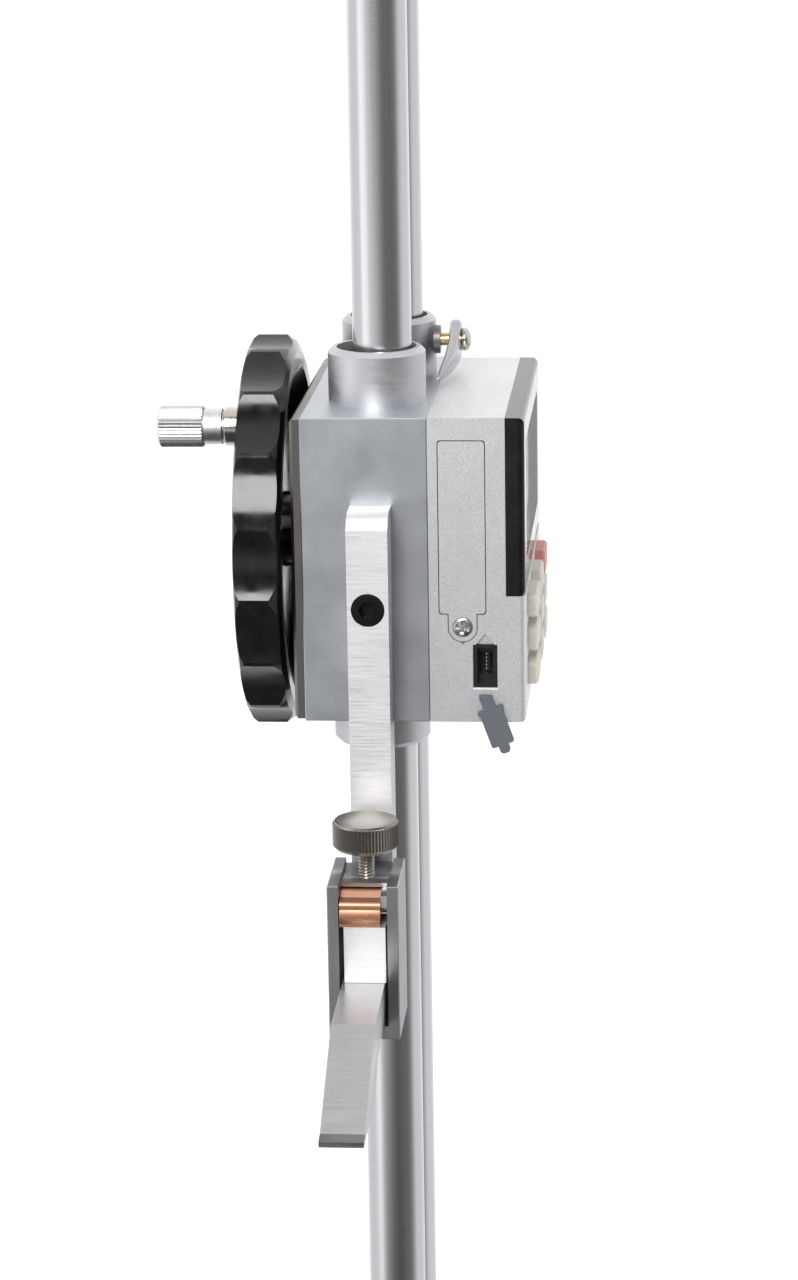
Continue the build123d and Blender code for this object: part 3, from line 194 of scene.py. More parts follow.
    def bump(self, source, height_mm):
        """The surface rises by the height where the source is 1."""
        made = self.node("Bump")
        made.inputs["Strength"].default_value = 1.0
        made.inputs["Distance"].default_value = height_mm * MM
        self.link(source, made.inputs["Height"])
        if self.normal is not None:
            self.link(self.normal, made.inputs["Normal"])
        self.normal = made.outputs["Normal"]
        self.link(self.normal, self.shader.inputs["Normal"])
        return self


def shades(color, contrast):
    """The darker and the lighter shade of a colour."""
    return [tuple(channel * factor for channel in color) for factor in (1 - contrast, 1 + contrast)]


def ground(name, color, roughness, grain, contrast=0.10, lines_mm=0.002, spread=0.8):
    """Surface-ground steel: long scratches along one axis, softly clouded.

    The highlight spreads across the scratches.
    """
    across, along = 2600.0, 90.0        # noise cells to the metre
    look = Look(name, color, 1.0, roughness, Anisotropic=spread)
    if grain == Y:
        tangent = look.node("Tangent", direction_type="RADIAL", axis="Y")
        look.link(tangent.outputs["Tangent"], look.shader.inputs["Tangent"])
    stretch = [across] * 3
    stretch[grain] = along
    scratches = look.noise(look.scaled(stretch), detail=3.0, roughness=0.7)
    clouds = look.noise(look.coordinates, scale=90.0, detail=2.0)
    look.multiply(look.tint(scratches, *shades(color, contrast)), clouds, 0.93, 1.0)
    look.rough(scratches, roughness - 0.07, roughness + 0.09)
    return look.bump(scratches, lines_mm)


def turned(name, color, roughness, centre, axis, contrast=0.06, lines_mm=0.0016):
    """Turned metal: fine rings round an axis."""
    look = Look(name, color, 1.0, roughness)
    rings = look.noise(look.round_about(centre, axis, 3000.0, 2.0, 3000.0), detail=2.0)
    clouds = look.noise(look.coordinates, scale=140.0, detail=3.0)
    look.multiply(look.tint(rings, *shades(color, contrast)), clouds, 0.92, 1.0)
    look.rough(rings, roughness - 0.06, roughness + 0.08)
    return look.bump(rings, lines_mm)


def blasted(name, color, roughness, grain_mm, contrast=0.05, height_mm=0.003, cloud=0.06):
    """Bead-blasted metal: an even fine grain with faint clouding."""
    look = Look(name, color, 1.0, roughness)
    grain = look.noise(look.coordinates, scale=1.0 / (grain_mm * MM), detail=2.0)
    clouds = look.noise(look.coordinates, scale=60.0, detail=4.0)
    look.multiply(look.tint(grain, *shades(color, contrast)), clouds, 1 - cloud, 1.0)
    look.rough(clouds, roughness - 0.05, roughness + 0.05)
    return look.bump(grain, height_mm)


def moulded(name, color, roughness, grain_mm=0.3, height_mm=0.003):
    """Moulded plastic with a fine grain."""
    look = Look(name, color, 0.0, roughness)
    grain = look.noise(look.coordinates, scale=1.0 / (grain_mm * MM), detail=2.0)
    clouds = look.noise(look.coordinates, scale=120.0, detail=2.0)
    look.tint(clouds, *shades(color, 0.04))
    look.rough(grain, roughness - 0.04, roughness + 0.05)
    return look.bump(grain, height_mm)


def column_look(name, centre):
    """Ground and polished column: fine rings, faint long streaks."""
    look = Look(name, (0.63, 0.63, 0.64), 1.0, 0.22)
    rings = look.noise(look.round_about(centre, Z, 2200.0, 1.2, 10.0), detail=2.0)
    streaks = look.noise(look.round_about(centre, Z, 2.0, 26.0, 10.0), detail=3.0)
    streaked = look.tint(streaks, (0.59, 0.59, 0.60), (0.66, 0.66, 0.67))
    look.multiply(streaked, rings, 0.97, 1.0)
    look.rough(rings, 0.19, 0.25)
    return look.bump(rings, 0.0003)


def silver_paint(name):
    """Metallic silver paint: fine flakes of different brightness, under a soft coat."""
    look = Look(name, (0.68, 0.69, 0.70), 0.75, 0.42)
    flakes = look.cells(look.coordinates, 3600.0)
    speck = look.node("SeparateColor")
    look.link(flakes, speck.inputs[0])
    flaked = look.ramp(speck.outputs[0], [(0.0, (0.60, 0.61, 0.62)), (0.35, (0.68, 0.69, 0.70)),
                                          (0.85, (0.73, 0.74, 0.75)), (1.0, (0.90, 0.90, 0.91))])
    clouds = look.noise(look.coordinates, scale=50.0, detail=3.0)
    look.multiply(flaked, clouds, 0.95, 1.0)
    look.rough(speck.outputs[1], 0.38, 0.48)
    return look.bump(speck.outputs[2], 0.0008)


def gloss_black(name, roughness, waves_mm, ior):
    """Polished black plastic, with slow waves in its surface."""
    look = Look(name, (0.006, 0.006, 0.007), 0.0, roughness, IOR=ior)
    clouds = look.noise(look.coordinates, scale=180.0, detail=3.0)
    look.tint(clouds, (0.004, 0.004, 0.005), (0.009, 0.009, 0.010))
    look.rough(clouds, roughness - 0.03, roughness + 0.06)
    return look.bump(look.noise(look.coordinates, scale=70.0, detail=1.0), waves_mm)


def clear_window(name):
    """Clear acrylic, thin enough to show the panel behind it."""
    look = Look(name, (0.97, 0.98, 0.98), 0.0, 0.03, Transmission_Weight=1.0, IOR=1.49, Alpha=0.25)
    look.rough(look.noise(look.coordinates, scale=40.0, detail=1.0), 0.02, 0.05)
    return look


def paint(look, piece):
    """Give a look to a CAD node's object or to a piece of this scene."""
    piece.data.materials.clear()
    piece.data.materials.append(LOOKS[look].material)


# ------------------------------------------------------------------ the looks, and what has them
BATTERY_SCREW, PAD = middle("battery_cover_screw"), middle("pressure_pad")
LOCK_NUT, FERRULE, CRANK = middle("lock_nut"), middle("crank_ferrule"), middle("crank_knob")

LOOKS = {
    "cast": blasted("cast_iron_enamel", (0.20, 0.205, 0.21), 0.45, grain_mm=0.9, contrast=0.10,
                    height_mm=0.03),
    "block": blasted("blasted_block", (0.60, 0.62, 0.645), 0.44, grain_mm=0.16, cloud=0.10),
    "bracket": blasted("blasted_bracket", (0.52, 0.53, 0.55), 0.42, grain_mm=0.18, cloud=0.08),
    "plate": blasted("side_plate", (0.24, 0.225, 0.21), 0.36, grain_mm=0.16),
    "black_steel": blasted("black_oxide", (0.030, 0.030, 0.032), 0.36, grain_mm=0.15,
                           contrast=0.15),
    "lever": blasted("satin_nickel", (0.52, 0.52, 0.535), 0.26, grain_mm=0.4, contrast=0.06,
                     height_mm=0.004),
    "front_column": column_look("polished_front_column", FRONT_COLUMN),
    "rear_column": column_look("polished_rear_column", REAR_COLUMN),
    "housing": silver_paint("silver_paint"),
    "window": clear_window("clear_window"),
    "bezel": gloss_black("gloss_bezel", 0.09, waves_mm=0.0, ior=1.34),
    "wheel": gloss_black("gloss_wheel", 0.13, waves_mm=0.05, ior=1.5),
    "arm": ground("ground_arm", (0.545, 0.54, 0.55), 0.44, Y, lines_mm=0.0025),
    "scriber": ground("ground_scriber", (0.46, 0.46, 0.465), 0.36, Y, spread=0.5),
    "carbide": ground("ground_carbide", (0.17, 0.165, 0.16), 0.35, Y),
    "yoke": ground("ground_clamp", (0.46, 0.465, 0.475), 0.40, Z, contrast=0.06),
    "spring": ground("spring_steel", (0.90, 0.91, 0.93), 0.25, X),
    "front_collar": turned("turned_front_collar", (0.66, 0.66, 0.68), 0.44, COLLAR_FRONT, Z,
                           contrast=0.03, lines_mm=0.0006),
    "rear_collar": turned("turned_rear_collar", (0.60, 0.60, 0.61), 0.40, COLLAR_REAR, Z,
                          contrast=0.03, lines_mm=0.0006),
    "copper": turned("worn_copper", (0.58, 0.31, 0.20), 0.46, PAD, Y, contrast=0.12),
    "thumb": turned("nickel_thumbscrew", (0.36, 0.34, 0.31), 0.34, THUMB, Z),
    "bright_screw": turned("zinc_screw", (0.66, 0.67, 0.68), 0.28, BATTERY_SCREW, X),
    "brass": turned("turned_brass", (0.70, 0.50, 0.24), 0.30, LOCK_NUT, Y),
    "washer": turned("turned_washer", (0.30, 0.28, 0.26), 0.42, REAR_COLUMN, Y),
    "nickel": turned("nickel_plate", (0.66, 0.62, 0.55), 0.18, FERRULE, Y),
    "hub": turned("plated_hub", (0.62, 0.62, 0.62), 0.20, WHEEL, Y),
    "crank": turned("turned_crank", (0.78, 0.79, 0.80), 0.36, CRANK, Y),
    "bronze": turned("bronze_bush", (0.62, 0.42, 0.20), 0.35, FRONT_COLUMN, Z),
    "steel": turned("turned_shaft", (0.50, 0.50, 0.50), 0.30, WHEEL, Y),
    "key": moulded("beige_key", (0.56, 0.53, 0.46), 0.42),
    "red_key": moulded("red_key", (0.60, 0.20, 0.19), 0.42),
    "rubber": moulded("grey_rubber", (0.090, 0.098, 0.112), 0.62, grain_mm=0.2, height_mm=0.006),
    "black_plastic": moulded("black_plastic", (0.008, 0.008, 0.010), 0.34),
    "board": moulded("circuit_board", (0.02, 0.16, 0.07), 0.40),
    "lcd": moulded("lcd_glass", (0.36, 0.40, 0.33), 0.25, grain_mm=0.5, height_mm=0.0),
    "cell": moulded("cell_sleeve", (0.05, 0.05, 0.06), 0.3),
    "felt": moulded("felt", (0.12, 0.11, 0.10), 0.9, grain_mm=0.15, height_mm=0.05),
    "sill": moulded("pale_sill", (0.85, 0.85, 0.85), 0.4),
    # painted shade: the dark ring round the cover screw and the notch patch below it
    "painted_shade": moulded("countersink_painted_shade", (0.10, 0.105, 0.11), 0.5),
    "segment": moulded("lcd_segment", (0.02, 0.025, 0.03), 0.5),
}

PAINTED = {
    "cast": ["base_casting"],
    "block": ["slider_block"],
    "bracket": ["top_bracket"],
    "plate": ["wheel_side_plate"],
    "black_steel": ["arm_screw", "bracket_screws", "base_bolts", "housing_screws"],
    "lever": ["lock_lever"],
    "front_column": ["front_column"],
    "rear_column": ["rear_column"],
    "housing": ["display_housing", "battery_cover"],
    "window": ["display_window"],
    "bezel": ["display_bezel"],
    "wheel": ["handwheel"],
    "arm": ["measuring_arm"],
    "scriber": ["scriber"],
    "carbide": ["carbide_tip"],
    "yoke": ["clamp_yoke"],
    "spring": ["pad_leaf"],
    "front_collar": ["upper_front_collar", "lower_collars"],
    "rear_collar": ["upper_rear_collar"],
    "copper": ["pressure_pad"],
    "thumb": ["clamp_screw"],
    "bright_screw": ["battery_cover_screw", "plate_screws", "battery_contacts", "crank_pin"],
    "brass": ["lock_stud", "collar_grub_screw"],
    "washer": ["lock_nut"],
    "nickel": ["crank_ferrule", "lock_screw", "port_pins"],
    "hub": ["hub_screw"],
    "crank": ["crank_knob"],
    "bronze": ["column_bushes", "shaft_bushes", "brake_shoe"],
    "steel": ["drive_shaft", "drive_pinion", "encoder_disc", "rack_bar"],
    "key": [name for name in nodes if name.startswith("key_")],
    "red_key": ["power_key"],
    "rubber": ["port_flap"],
    "black_plastic": ["port_socket"],
    "board": ["main_board"],
    "lcd": ["lcd_panel"],
    "cell": ["battery"],
    "felt": ["column_wipers"],
}

for look_name, painted in PAINTED.items():
    for node_name in painted:
        paint(look_name, nodes[node_name])


# ------------------------------------------------------------------ small pieces
def add_piece(name, vertices, faces, look, body, smooth_angle=None):
    """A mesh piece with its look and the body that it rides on.

    With a smooth angle in degrees, edges that turn less than it are shaded smooth.
    """
    mesh = bpy.data.meshes.new(name)
    mesh.from_pydata([tuple(v) for v in vertices], [], faces)
    mesh.update()
    piece = bpy.data.objects.new(name, mesh)
    bpy.context.scene.collection.objects.link(piece)
    if smooth_angle:
        mesh.shade_smooth()
        mesh.set_sharp_from_angle(angle=math.radians(smooth_angle))
    paint(look, piece)
    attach(piece, body)
    return piece


def turns(count):
    """Angles that divide a circle."""
    return [2 * math.pi * i / count for i in range(count)]


def band(first, second, count):
    """Quads between two closed rings of points, given the index that each ring starts at."""
    return [(first + i, first + (i + 1) % count, second + (i + 1) % count, second + i)
            for i in range(count)]


def turned_over(quads):
    """The same quads, facing the other way."""
    return [(a, d, c, b) for a, b, c, d in quads]


def face_loop(node):
    """The outline of a CAD node's flat -X face, as (y, z) points in order."""
    mesh = nodes[node].data
    face_x = lowest(node, X)
    flat = [polygon for polygon in mesh.polygons
            if all(abs(mesh.vertices[i].co.x - face_x) < 0.001 * MM for i in polygon.vertices)]
    edges = {}
    for polygon in flat:
        keys = [tuple(round(value, 7) for value in mesh.vertices[i].co) for i in polygon.vertices]
        edges.update(dict.fromkeys(zip(keys, keys[1:] + keys[:1])))
    border = {a: b for a, b in edges if (b, a) not in edges}
    loops = []
    while border:
        start, end = border.popitem()
        loop = [start]
        while end != start and end in border:
            loop.append(end)
            end = border.pop(end)
        loops.append([Vector((point[1], point[2])) for point in loop])
    return max(loops, key=lambda loop: max(p.y for p in loop) - min(p.y for p in loop))


def widened(loop, distance):
    """The loop moved outwards by a distance, corner by corner."""
    sharpest = 0.5
    area = sum(a.x * b.y - b.x * a.y for a, b in zip(loop, loop[1:] + loop[:1]))
    turn = 1 if area > 0 else -1
    out = []
    for before, here, after in zip(loop[-1:] + loop[:-1], loop, loop[1:] + loop[:1]):
        first = (here - before).normalized()
        second = (after - here).normalized()
        normal = Vector((first.y + second.y, -first.x - second.x)).normalized() * turn
        spread = max(sharpest, normal.dot(Vector((second.y, -second.x)) * turn))
        out.append(here + normal * distance / spread)
    return out


def cover_gap_shade():
    """A dark strip of painted shade that fills the gap round the battery cover, a hair proud of the
    face.
    """
    face_x = lowest("battery_cover", X)
    overlap, width, proud, depth = 0.02 * MM, 0.20 * MM, 0.03 * MM, 0.9 * MM
    outline = face_loop("battery_cover")
    inner, outer = widened(outline, -overlap), widened(outline, width)
    count = len(inner)
    vertices = []
    for x in (face_x - proud, face_x + depth):
        vertices += [(x, p.x, p.y) for p in inner] + [(x, p.x, p.y) for p in outer]
    front_in, front_out, back_in, back_out = 0, count, 2 * count, 3 * count
    inward = band(back_in, back_out, count) + band(front_in, back_in, count)
    faces = band(front_in, front_out, count) + band(front_out, back_out, count)
    faces += [(b, a, d, c) for a, b, c, d in inward]
    # the black plastic here is painted shade for the gap round the cover
    add_piece("cover_gap_shade", vertices, faces, "black_plastic", "slider")


def cross_recess(y, z, half_width, arm):
    """Depth share of a cross recess at one place of a screw's head, from 0 to 1."""
    side_slope, end_slope = 0.35 * half_width, 0.30 * arm

    def inside(across, along):
        slot = max(0.0, min(1.0, (half_width - abs(across)) / side_slope + 0.5))
        reach = max(0.0, min(1.0, (arm - abs(along)) / end_slope + 0.5))
        return slot * reach
    return max(inside(y, z), inside(z, y))


def cover_screw():
    """Domed screw head with a cross recess, turned a little from upright."""
    low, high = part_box("battery_cover_screw")
    centre, radius = (low + high) / 2, (high.z - low.z) / 2
    half_width, arm, depth = 0.20 * radius, 0.66 * radius, 0.5 * MM
    dome_height, skirt_depth = 0.35 * MM, 1.2 * MM
    rings, sectors, tilt = 22, 72, math.radians(12)
    vertices = [(low.x + depth, centre.y, centre.z)]
    for ring in range(1, rings + 1):
        reach = radius * ring / rings
        for angle in turns(sectors):
            y, z = reach * math.cos(angle), reach * math.sin(angle)
            along = y * math.cos(tilt) + z * math.sin(tilt)
            across = z * math.cos(tilt) - y * math.sin(tilt)
            dome = dome_height * (reach / radius) ** 3
            sink = depth * cross_recess(along, across, half_width, arm)
            vertices.append((low.x + dome + sink, centre.y + y, centre.z + z))
    vertices += [(low.x + skirt_depth, centre.y + radius * math.cos(angle),
                  centre.z + radius * math.sin(angle)) for angle in turns(sectors)]
    faces = [(0, 1 + (s + 1) % sectors, 1 + s) for s in range(sectors)]
    for ring in range(rings):
        first = 1 + ring * sectors
        faces += band(first, first + sectors, sectors)
    piece = add_piece("cover_screw_head", vertices, faces, "bright_screw", "battery_door",
                      smooth_angle=40)
    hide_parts("battery_cover_screw")


def revolved(axis, rings, sectors):
    """A closed revolved shell about a vertical axis: rings of (z, radius at an angle)."""
    vertices = [(axis.x, axis.y, rings[0][0])]
    for z, radius_at in rings:
        for angle in turns(sectors):
            radius = radius_at(angle, z)
            vertices.append((axis.x + radius * math.cos(angle),
                             axis.y + radius * math.sin(angle), z))
    vertices.append((axis.x, axis.y, rings[-1][0]))
    last = len(vertices) - 1
    faces = [(0, 1 + s, 1 + (s + 1) % sectors) for s in range(sectors)]
    for ring in range(len(rings) - 1):
        first = 1 + ring * sectors
        faces += turned_over(band(first, first + sectors, sectors))
    final = 1 + (len(rings) - 1) * sectors
    faces += [(last, final + (s + 1) % sectors, final + s) for s in range(sectors)]
    return vertices, faces


def steady(radius):
    """A radius that is the same all round."""
    return lambda angle, z: radius


def notches(share):
    """1 at a whole number, 0 halfway between two."""
    return abs(2 * (share % 1) - 1)


def thumbscrew():
    """The thumbscrew: a dished head with a fine straight knurl, on a threaded shank."""
    low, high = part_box("clamp_screw")
    top, radius, height = high.z, (high.x - low.x) / 2, 8.7 * MM
    teeth, groove, sectors_a_tooth = 60, 0.62 * MM, 4

    def knurl(angle, z):
        return radius - groove * notches(angle * teeth / (2 * math.pi))

    head = [(top - 1.5 * MM, steady(0.05 * MM)), (top - 1.3 * MM, steady(0.45 * radius)),
            (top - 0.7 * MM, steady(0.75 * radius)), (top - 0.1 * MM, steady(0.86 * radius)),
            (top, steady(0.89 * radius)), (top - 0.15 * MM, steady(0.93 * radius)),
            (top - 0.8 * MM, steady(radius - groove)), (top - 1.0 * MM, knurl),
            (top - height + 1.0 * MM, knurl), (top - height + 0.7 * MM, steady(radius - groove)),
            (top - height, steady(0.90 * radius)), (top - height, steady(0.2 * radius))]
    vertices, faces = revolved(THUMB, head, teeth * sectors_a_tooth)

    core, crest, pitch, step = 2.12 * MM, 2.5 * MM, 1.0 * MM, 0.125 * MM
    shank_top, shank_sectors = top - height + 0.4 * MM, 40

    def thread(angle, z):
        return core + (crest - core) * notches(z / pitch - angle / (2 * math.pi))

    shank = [(shank_top - i * step, thread) for i in range(int((shank_top - low.z) / step))]
    shank.append((low.z, steady(0.8 * core)))
    more, shank_faces = revolved(THUMB, shank, shank_sectors)
    start = len(vertices)
    faces += [tuple(start + i for i in face) for face in shank_faces]
    piece = add_piece("thumbscrew", vertices + more, faces, "thumb", "thumbscrew",
                      smooth_angle=28)
    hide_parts("clamp_screw")


def lever():
    """The lock lever: a rounded eye on the stud, drawn out to a bent, pointed thumb tip."""
    low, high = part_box("lock_lever")
    stud = middle("lock_stud")
    eye_half_thick = 2.2 * MM
    eye, eye_y = high.z - stud.z, low.y + eye_half_thick
    tip = Vector((low.x + 0.3 * MM, high.y - 0.3 * MM, low.z + 0.6 * MM))
    tip_half_high, tip_half_thick = 1.3 * MM, 0.8 * MM
    bend, droop = 2.0, 0.9              # powers of the run from the stud to the tip
    flat_side, flat_edge = 0.45, 0.8    # powers of a section's cosine and sine: 1 is an ellipse
    steps, sectors = 40, 32
    vertices = []
    for step in range(steps + 1):
        x = high.x - (high.x - tip.x) * (1 - math.cos(math.pi * (step / steps))) / 2
        if x > stud.x:
            half_high = math.sqrt(max(eye ** 2 - (x - stud.x) ** 2, 0.0))
            half_thick = eye_half_thick * max(half_high / eye, 0.02) ** 0.4
            y, z = eye_y, stud.z
        else:
            run = (stud.x - x) / (stud.x - tip.x)
            half_high = eye * (1 - run) + tip_half_high * run
            half_high *= math.sqrt(max(1 - run ** 10, 0.0))
            half_thick = eye_half_thick * (1 - run) + tip_half_thick * run
            half_thick *= math.sqrt(max(1 - run ** 14, 0.02))
            y = eye_y + (tip.y - eye_y) * run ** bend
            z = stud.z + (tip.z - stud.z) * run ** droop
        for angle in turns(sectors):
            across, upright = math.cos(angle), math.sin(angle)
            vertices.append((x, y + half_thick * math.copysign(abs(across) ** flat_side, across),
                             z + half_high * math.copysign(abs(upright) ** flat_edge, upright)))
    faces = [tuple(range(sectors - 1, -1, -1)),
             tuple(steps * sectors + i for i in range(sectors))]
    for step in range(steps):
        faces += band(step * sectors, (step + 1) * sectors, sectors)
    piece = add_piece("lever_arm", vertices, faces, "lever", "lock", smooth_angle=50)
    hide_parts("lock_lever")


def lock_screw_dome():
    """The lock screw's domed head, turned about the stud's axis."""
    low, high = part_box("lock_screw")
    centre, radius = (low + high) / 2, (high.z - low.z) / 2 * 0.97
    dome = [(low.y, steady(0.15 * radius)), (low.y + 0.25 * MM, steady(0.50 * radius)),
            (low.y + 0.7 * MM, steady(0.78 * radius)), (low.y + 1.3 * MM, steady(0.95 * radius)),
            (low.y + 1.7 * MM, steady(radius)), (low.y + 2.5 * MM, steady(radius)),
            (low.y + 2.7 * MM, steady(0.95 * radius)), (high.y, steady(0.45 * radius))]
    vertices, faces = revolved(Vector((0, 0, 0)), dome, 48)
    laid_down = [(centre.x + x, y, centre.z + z) for x, z, y in vertices]
    piece = add_piece("lock_screw_dome", laid_down, faces, "nickel", "lock",
                      smooth_angle=50)
    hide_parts("lock_screw")


def screw_ring_and_notch_shade():
    """Painted shade: a dark ring round the cover screw's head that dips into its countersink, and a
    dark patch for the tongue's small notch below it.
    """
    low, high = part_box("battery_cover_screw")
    centre, radius = (low + high) / 2, (high.z - low.z) / 2
    face, tongue_end = lowest("battery_cover", X), lowest("battery_cover", Z)
    depth = 0.4 * MM
    # a dark ring a hair proud of the face: painted shade round the screw head
    rings = [(face - 0.04 * MM, radius), (face - 0.02 * MM, radius + 0.28 * MM),
             (face + depth, radius + 0.24 * MM), (face + depth, radius)]
    sectors = 48
    vertices = [(x, centre.y + reach * math.cos(angle), centre.z + reach * math.sin(angle))
                for x, reach in rings for angle in turns(sectors)]
    faces = []
    for ring in range(len(rings)):
        after = (ring + 1) % len(rings)
        faces += turned_over(band(ring * sectors, after * sectors, sectors))
    start = len(vertices)
    # the notch is a dark patch standing a hair proud, not a cut: painted shade
    notch = ((-0.9, 0.15), (0.9, 0.15), (0.15, -0.75), (-0.15, -0.75))     # (y, z) in mm
    for x in (face - 0.035 * MM, face + 0.3 * MM):
        vertices += [(x, centre.y + y * MM, tongue_end + z * MM) for y, z in notch]
    prism = [(3, 2, 1, 0), (4, 5, 6, 7), (0, 1, 5, 4), (1, 2, 6, 5), (2, 3, 7, 6), (3, 0, 4, 7)]
    faces += [tuple(start + i for i in quad) for quad in prism]
    add_piece("screw_ring_and_notch_shade", vertices, faces, "painted_shade", "slider")


def rolled_pad():
    """The full round roll on the front of the copper pad, below its upper band."""
    low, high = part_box("pressure_pad")
    half_height = (high.z - low.z) * 0.34
    half_depth, roll_x, back = 1.7 * MM, low.x + 1.2 * MM, low.x + 2.4 * MM
    start_angle, sweep, arcs = 80, 190, 14
    profile = []
    for k in range(arcs + 1):
        angle = math.radians(start_angle + sweep * k / arcs)
        profile.append((roll_x + half_depth * math.cos(angle),
                        low.z + half_height + half_height * math.sin(angle)))
    profile += [(back, low.z + 0.1 * MM), (back, low.z + 2 * half_height - 0.1 * MM)]
    count = len(profile)
    centre = Vector((sum(p[0] for p in profile), sum(p[1] for p in profile))) / count
    clearance, chamfer, end_share = 0.02 * MM, 0.3 * MM, 0.95
    sections = [(low.y + clearance, end_share), (low.y + chamfer, 1.0),
                (high.y - chamfer, 1.0), (high.y - clearance, end_share)]
    vertices = [(centre.x + (x - centre.x) * share, y, centre.y + (z - centre.y) * share)
                for y, share in sections for x, z in profile]
    faces = [tuple(range(count)), tuple(3 * count + i for i in range(count - 1, -1, -1))]
    for side in range(len(sections) - 1):
        faces += [(b, a, d, c) for a, b, c, d in band(side * count, (side + 1) * count, count)]
    add_piece("pad_nose", vertices, faces, "copper", "clamp", smooth_angle=35)


def port_sill():
    """The pale lower lip of the port's opening, which stands a little proud."""
    low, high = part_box("port_socket")
    face = lowest("display_housing", X)
    proud, sunk, drop = 0.28 * MM, 0.3 * MM, 0.55 * MM
    profile = [(face - proud, low.z - 0.12 * MM), (face + sunk, low.z),
               (face + sunk, low.z - drop), (face - 0.05 * MM, low.z - drop)]
    vertices = [(x, y, z) for y in (low.y, high.y) for x, z in profile]
    faces = [(0, 1, 5, 4), (1, 2, 6, 5), (2, 3, 7, 6), (3, 0, 4, 7), (0, 3, 2, 1), (4, 5, 6, 7)]
    add_piece("port_sill", vertices, faces, "sill", "slider")


LIT = {"0": "abcdef", "2": "abged", "5": "afgcd"}       # the bars that each digit shows
# each bar's two ends, as x, z, x, z
BARS = {"a": (0, 2, 1, 2), "b": (1, 1, 1, 2), "c": (1, 0, 1, 1), "d": (0, 0, 1, 0),
        "e": (0, 0, 0, 1), "f": (0, 1, 0, 2), "g": (0, 1, 1, 1)}


def digit_bars(lit):
    """The (x, z) outlines of a seven-segment digit, one unit wide and two high."""
    half, gap = 0.10, 0.04
    for name in lit:
        x0, z0, x1, z1 = BARS[name]
        if z0 == z1:
            yield [(x0 + gap, z0), (x0 + gap + half, z0 + half), (x1 - gap - half, z0 + half),
                   (x1 - gap, z0), (x1 - gap - half, z0 - half), (x0 + gap + half, z0 - half)]
        else:
            yield [(x0, z0 + gap), (x0 + half, z0 + gap + half), (x0 + half, z1 - gap - half),
                   (x0, z1 - gap), (x0 - half, z1 - gap - half), (x0 - half, z0 + gap + half)]


def lcd_digits():
    """The reading at rest, 205.00, in plain seven-segment digits on the panel's glass."""
    low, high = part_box("lcd_panel")
    glass_y = low.y - 0.03 * MM
    unit, slant, dot_half = 8.2 * MM, 0.10, 0.1
    pitch = 1.55 * unit
    start = (low.x + high.x) / 2 - 2.5 * pitch + 0.3 * unit
    base = (low.z + high.z) / 2 - unit
    vertices, faces = [], []
    for number, digit in enumerate("20500"):
        for outline in digit_bars(LIT[digit]):
            first = len(vertices)
            vertices += [(start + number * pitch + (x + slant * z) * unit, glass_y,
                          base + z * unit) for x, z in outline]
            faces.append(tuple(range(first, first + len(outline))))
    dot = len(vertices)
    dot_x = start + 2 * pitch + 1.28 * unit
    vertices += [(dot_x + x * dot_half * unit, glass_y, base + z * dot_half * unit)
                 for x, z in ((-1, -1), (1, -1), (1, 1), (-1, 1))]
    faces.append((dot, dot + 1, dot + 2, dot + 3))
    add_piece("lcd_digits", vertices, faces, "segment", "slider")


cover_gap_shade()
cover_screw()
thumbscrew()
lever()
lock_screw_dome()
screw_ring_and_notch_shade()
rolled_pad()
port_sill()
lcd_digits()


# ------------------------------------------------------------------ floor, light and camera
ROOM_WHITE = (0.90, 0.91, 0.93)
ROOM_SEEN = (1.0, 1.0, 1.0)             # what the camera sees past the floor's edge
# each lobe: colour, direction from the object, and the angles where it starts and ends to fade
BACK_WALL = ((1.2, 1.2, 1.2), (0.93, 0.10, 0.26), (24, 62))
DIM_SIDE = ((0.19, 0.18, 0.175), (-0.72, -0.65, -0.24), (16, 56))
SHADE_ABOVE = ((0.06, 0.06, 0.065), (-0.85, 0.10, 0.52), (26, 46))
SHADE_BELOW = ((0.06, 0.06, 0.065), (-0.50, 0.05, -0.87), (30, 52))
WINDOW = ((1.5, 1.5, 1.5), (-0.44, 0.88, -0.16), (6, 22))

SOFTBOX_RANGE = 1.7                     # from the handwheel
SOFTBOX_SIDE = 6.0                      # degrees from -X towards +Y
SOFTBOX_RISE = 34.0                     # degrees
SOFTBOX_SIZE = (0.62, 1.05)
SOFTBOX_POWER = 26.0
TOP_LIGHT_PLACE, TOP_LIGHT_TARGET = (0.2, -0.2, 2.0), (0, 0, 0.3)
TOP_LIGHT_SIZE, TOP_LIGHT_POWER = (1.2, 1.2), 4

FLOOR_REACH, FLOOR_GLOW = 14.0, 0.34

FRAME_WIDTH_PX, FOCAL_PX = 798.0, 3612.0
SENSOR_WIDTH = 36.0
CAMERA_PLACE = Vector((-1.12187, -0.09254, 0.59112))
CAMERA_HEADING, CAMERA_TILT, CAMERA_ROLL = -85.305, -14.39, 0.909       # degrees


def floor():
    """A pale matt floor that glows a little, so that it looks white like the backdrop."""
    mesh = bpy.data.meshes.new("floor")
    corners = [(x * FLOOR_REACH, y * FLOOR_REACH, 0)
               for x, y in ((-1, -1), (1, -1), (1, 1), (-1, 1))]
    mesh.from_pydata(corners, [], [(0, 1, 2, 3)])
    piece = bpy.data.objects.new("floor", mesh)
    bpy.context.scene.collection.objects.link(piece)
    look = Look("pale_floor", (0.86, 0.86, 0.86), 0.0, 0.9)
    look.tint(look.noise(look.coordinates, scale=2.0), (0.86, 0.86, 0.86), (0.88, 0.88, 0.88))
    look.shader.inputs["Emission Color"].default_value = (1, 1, 1, 1)
    look.shader.inputs["Emission Strength"].default_value = FLOOR_GLOW
    piece.data.materials.append(look.material)
    piece.visible_glossy = False


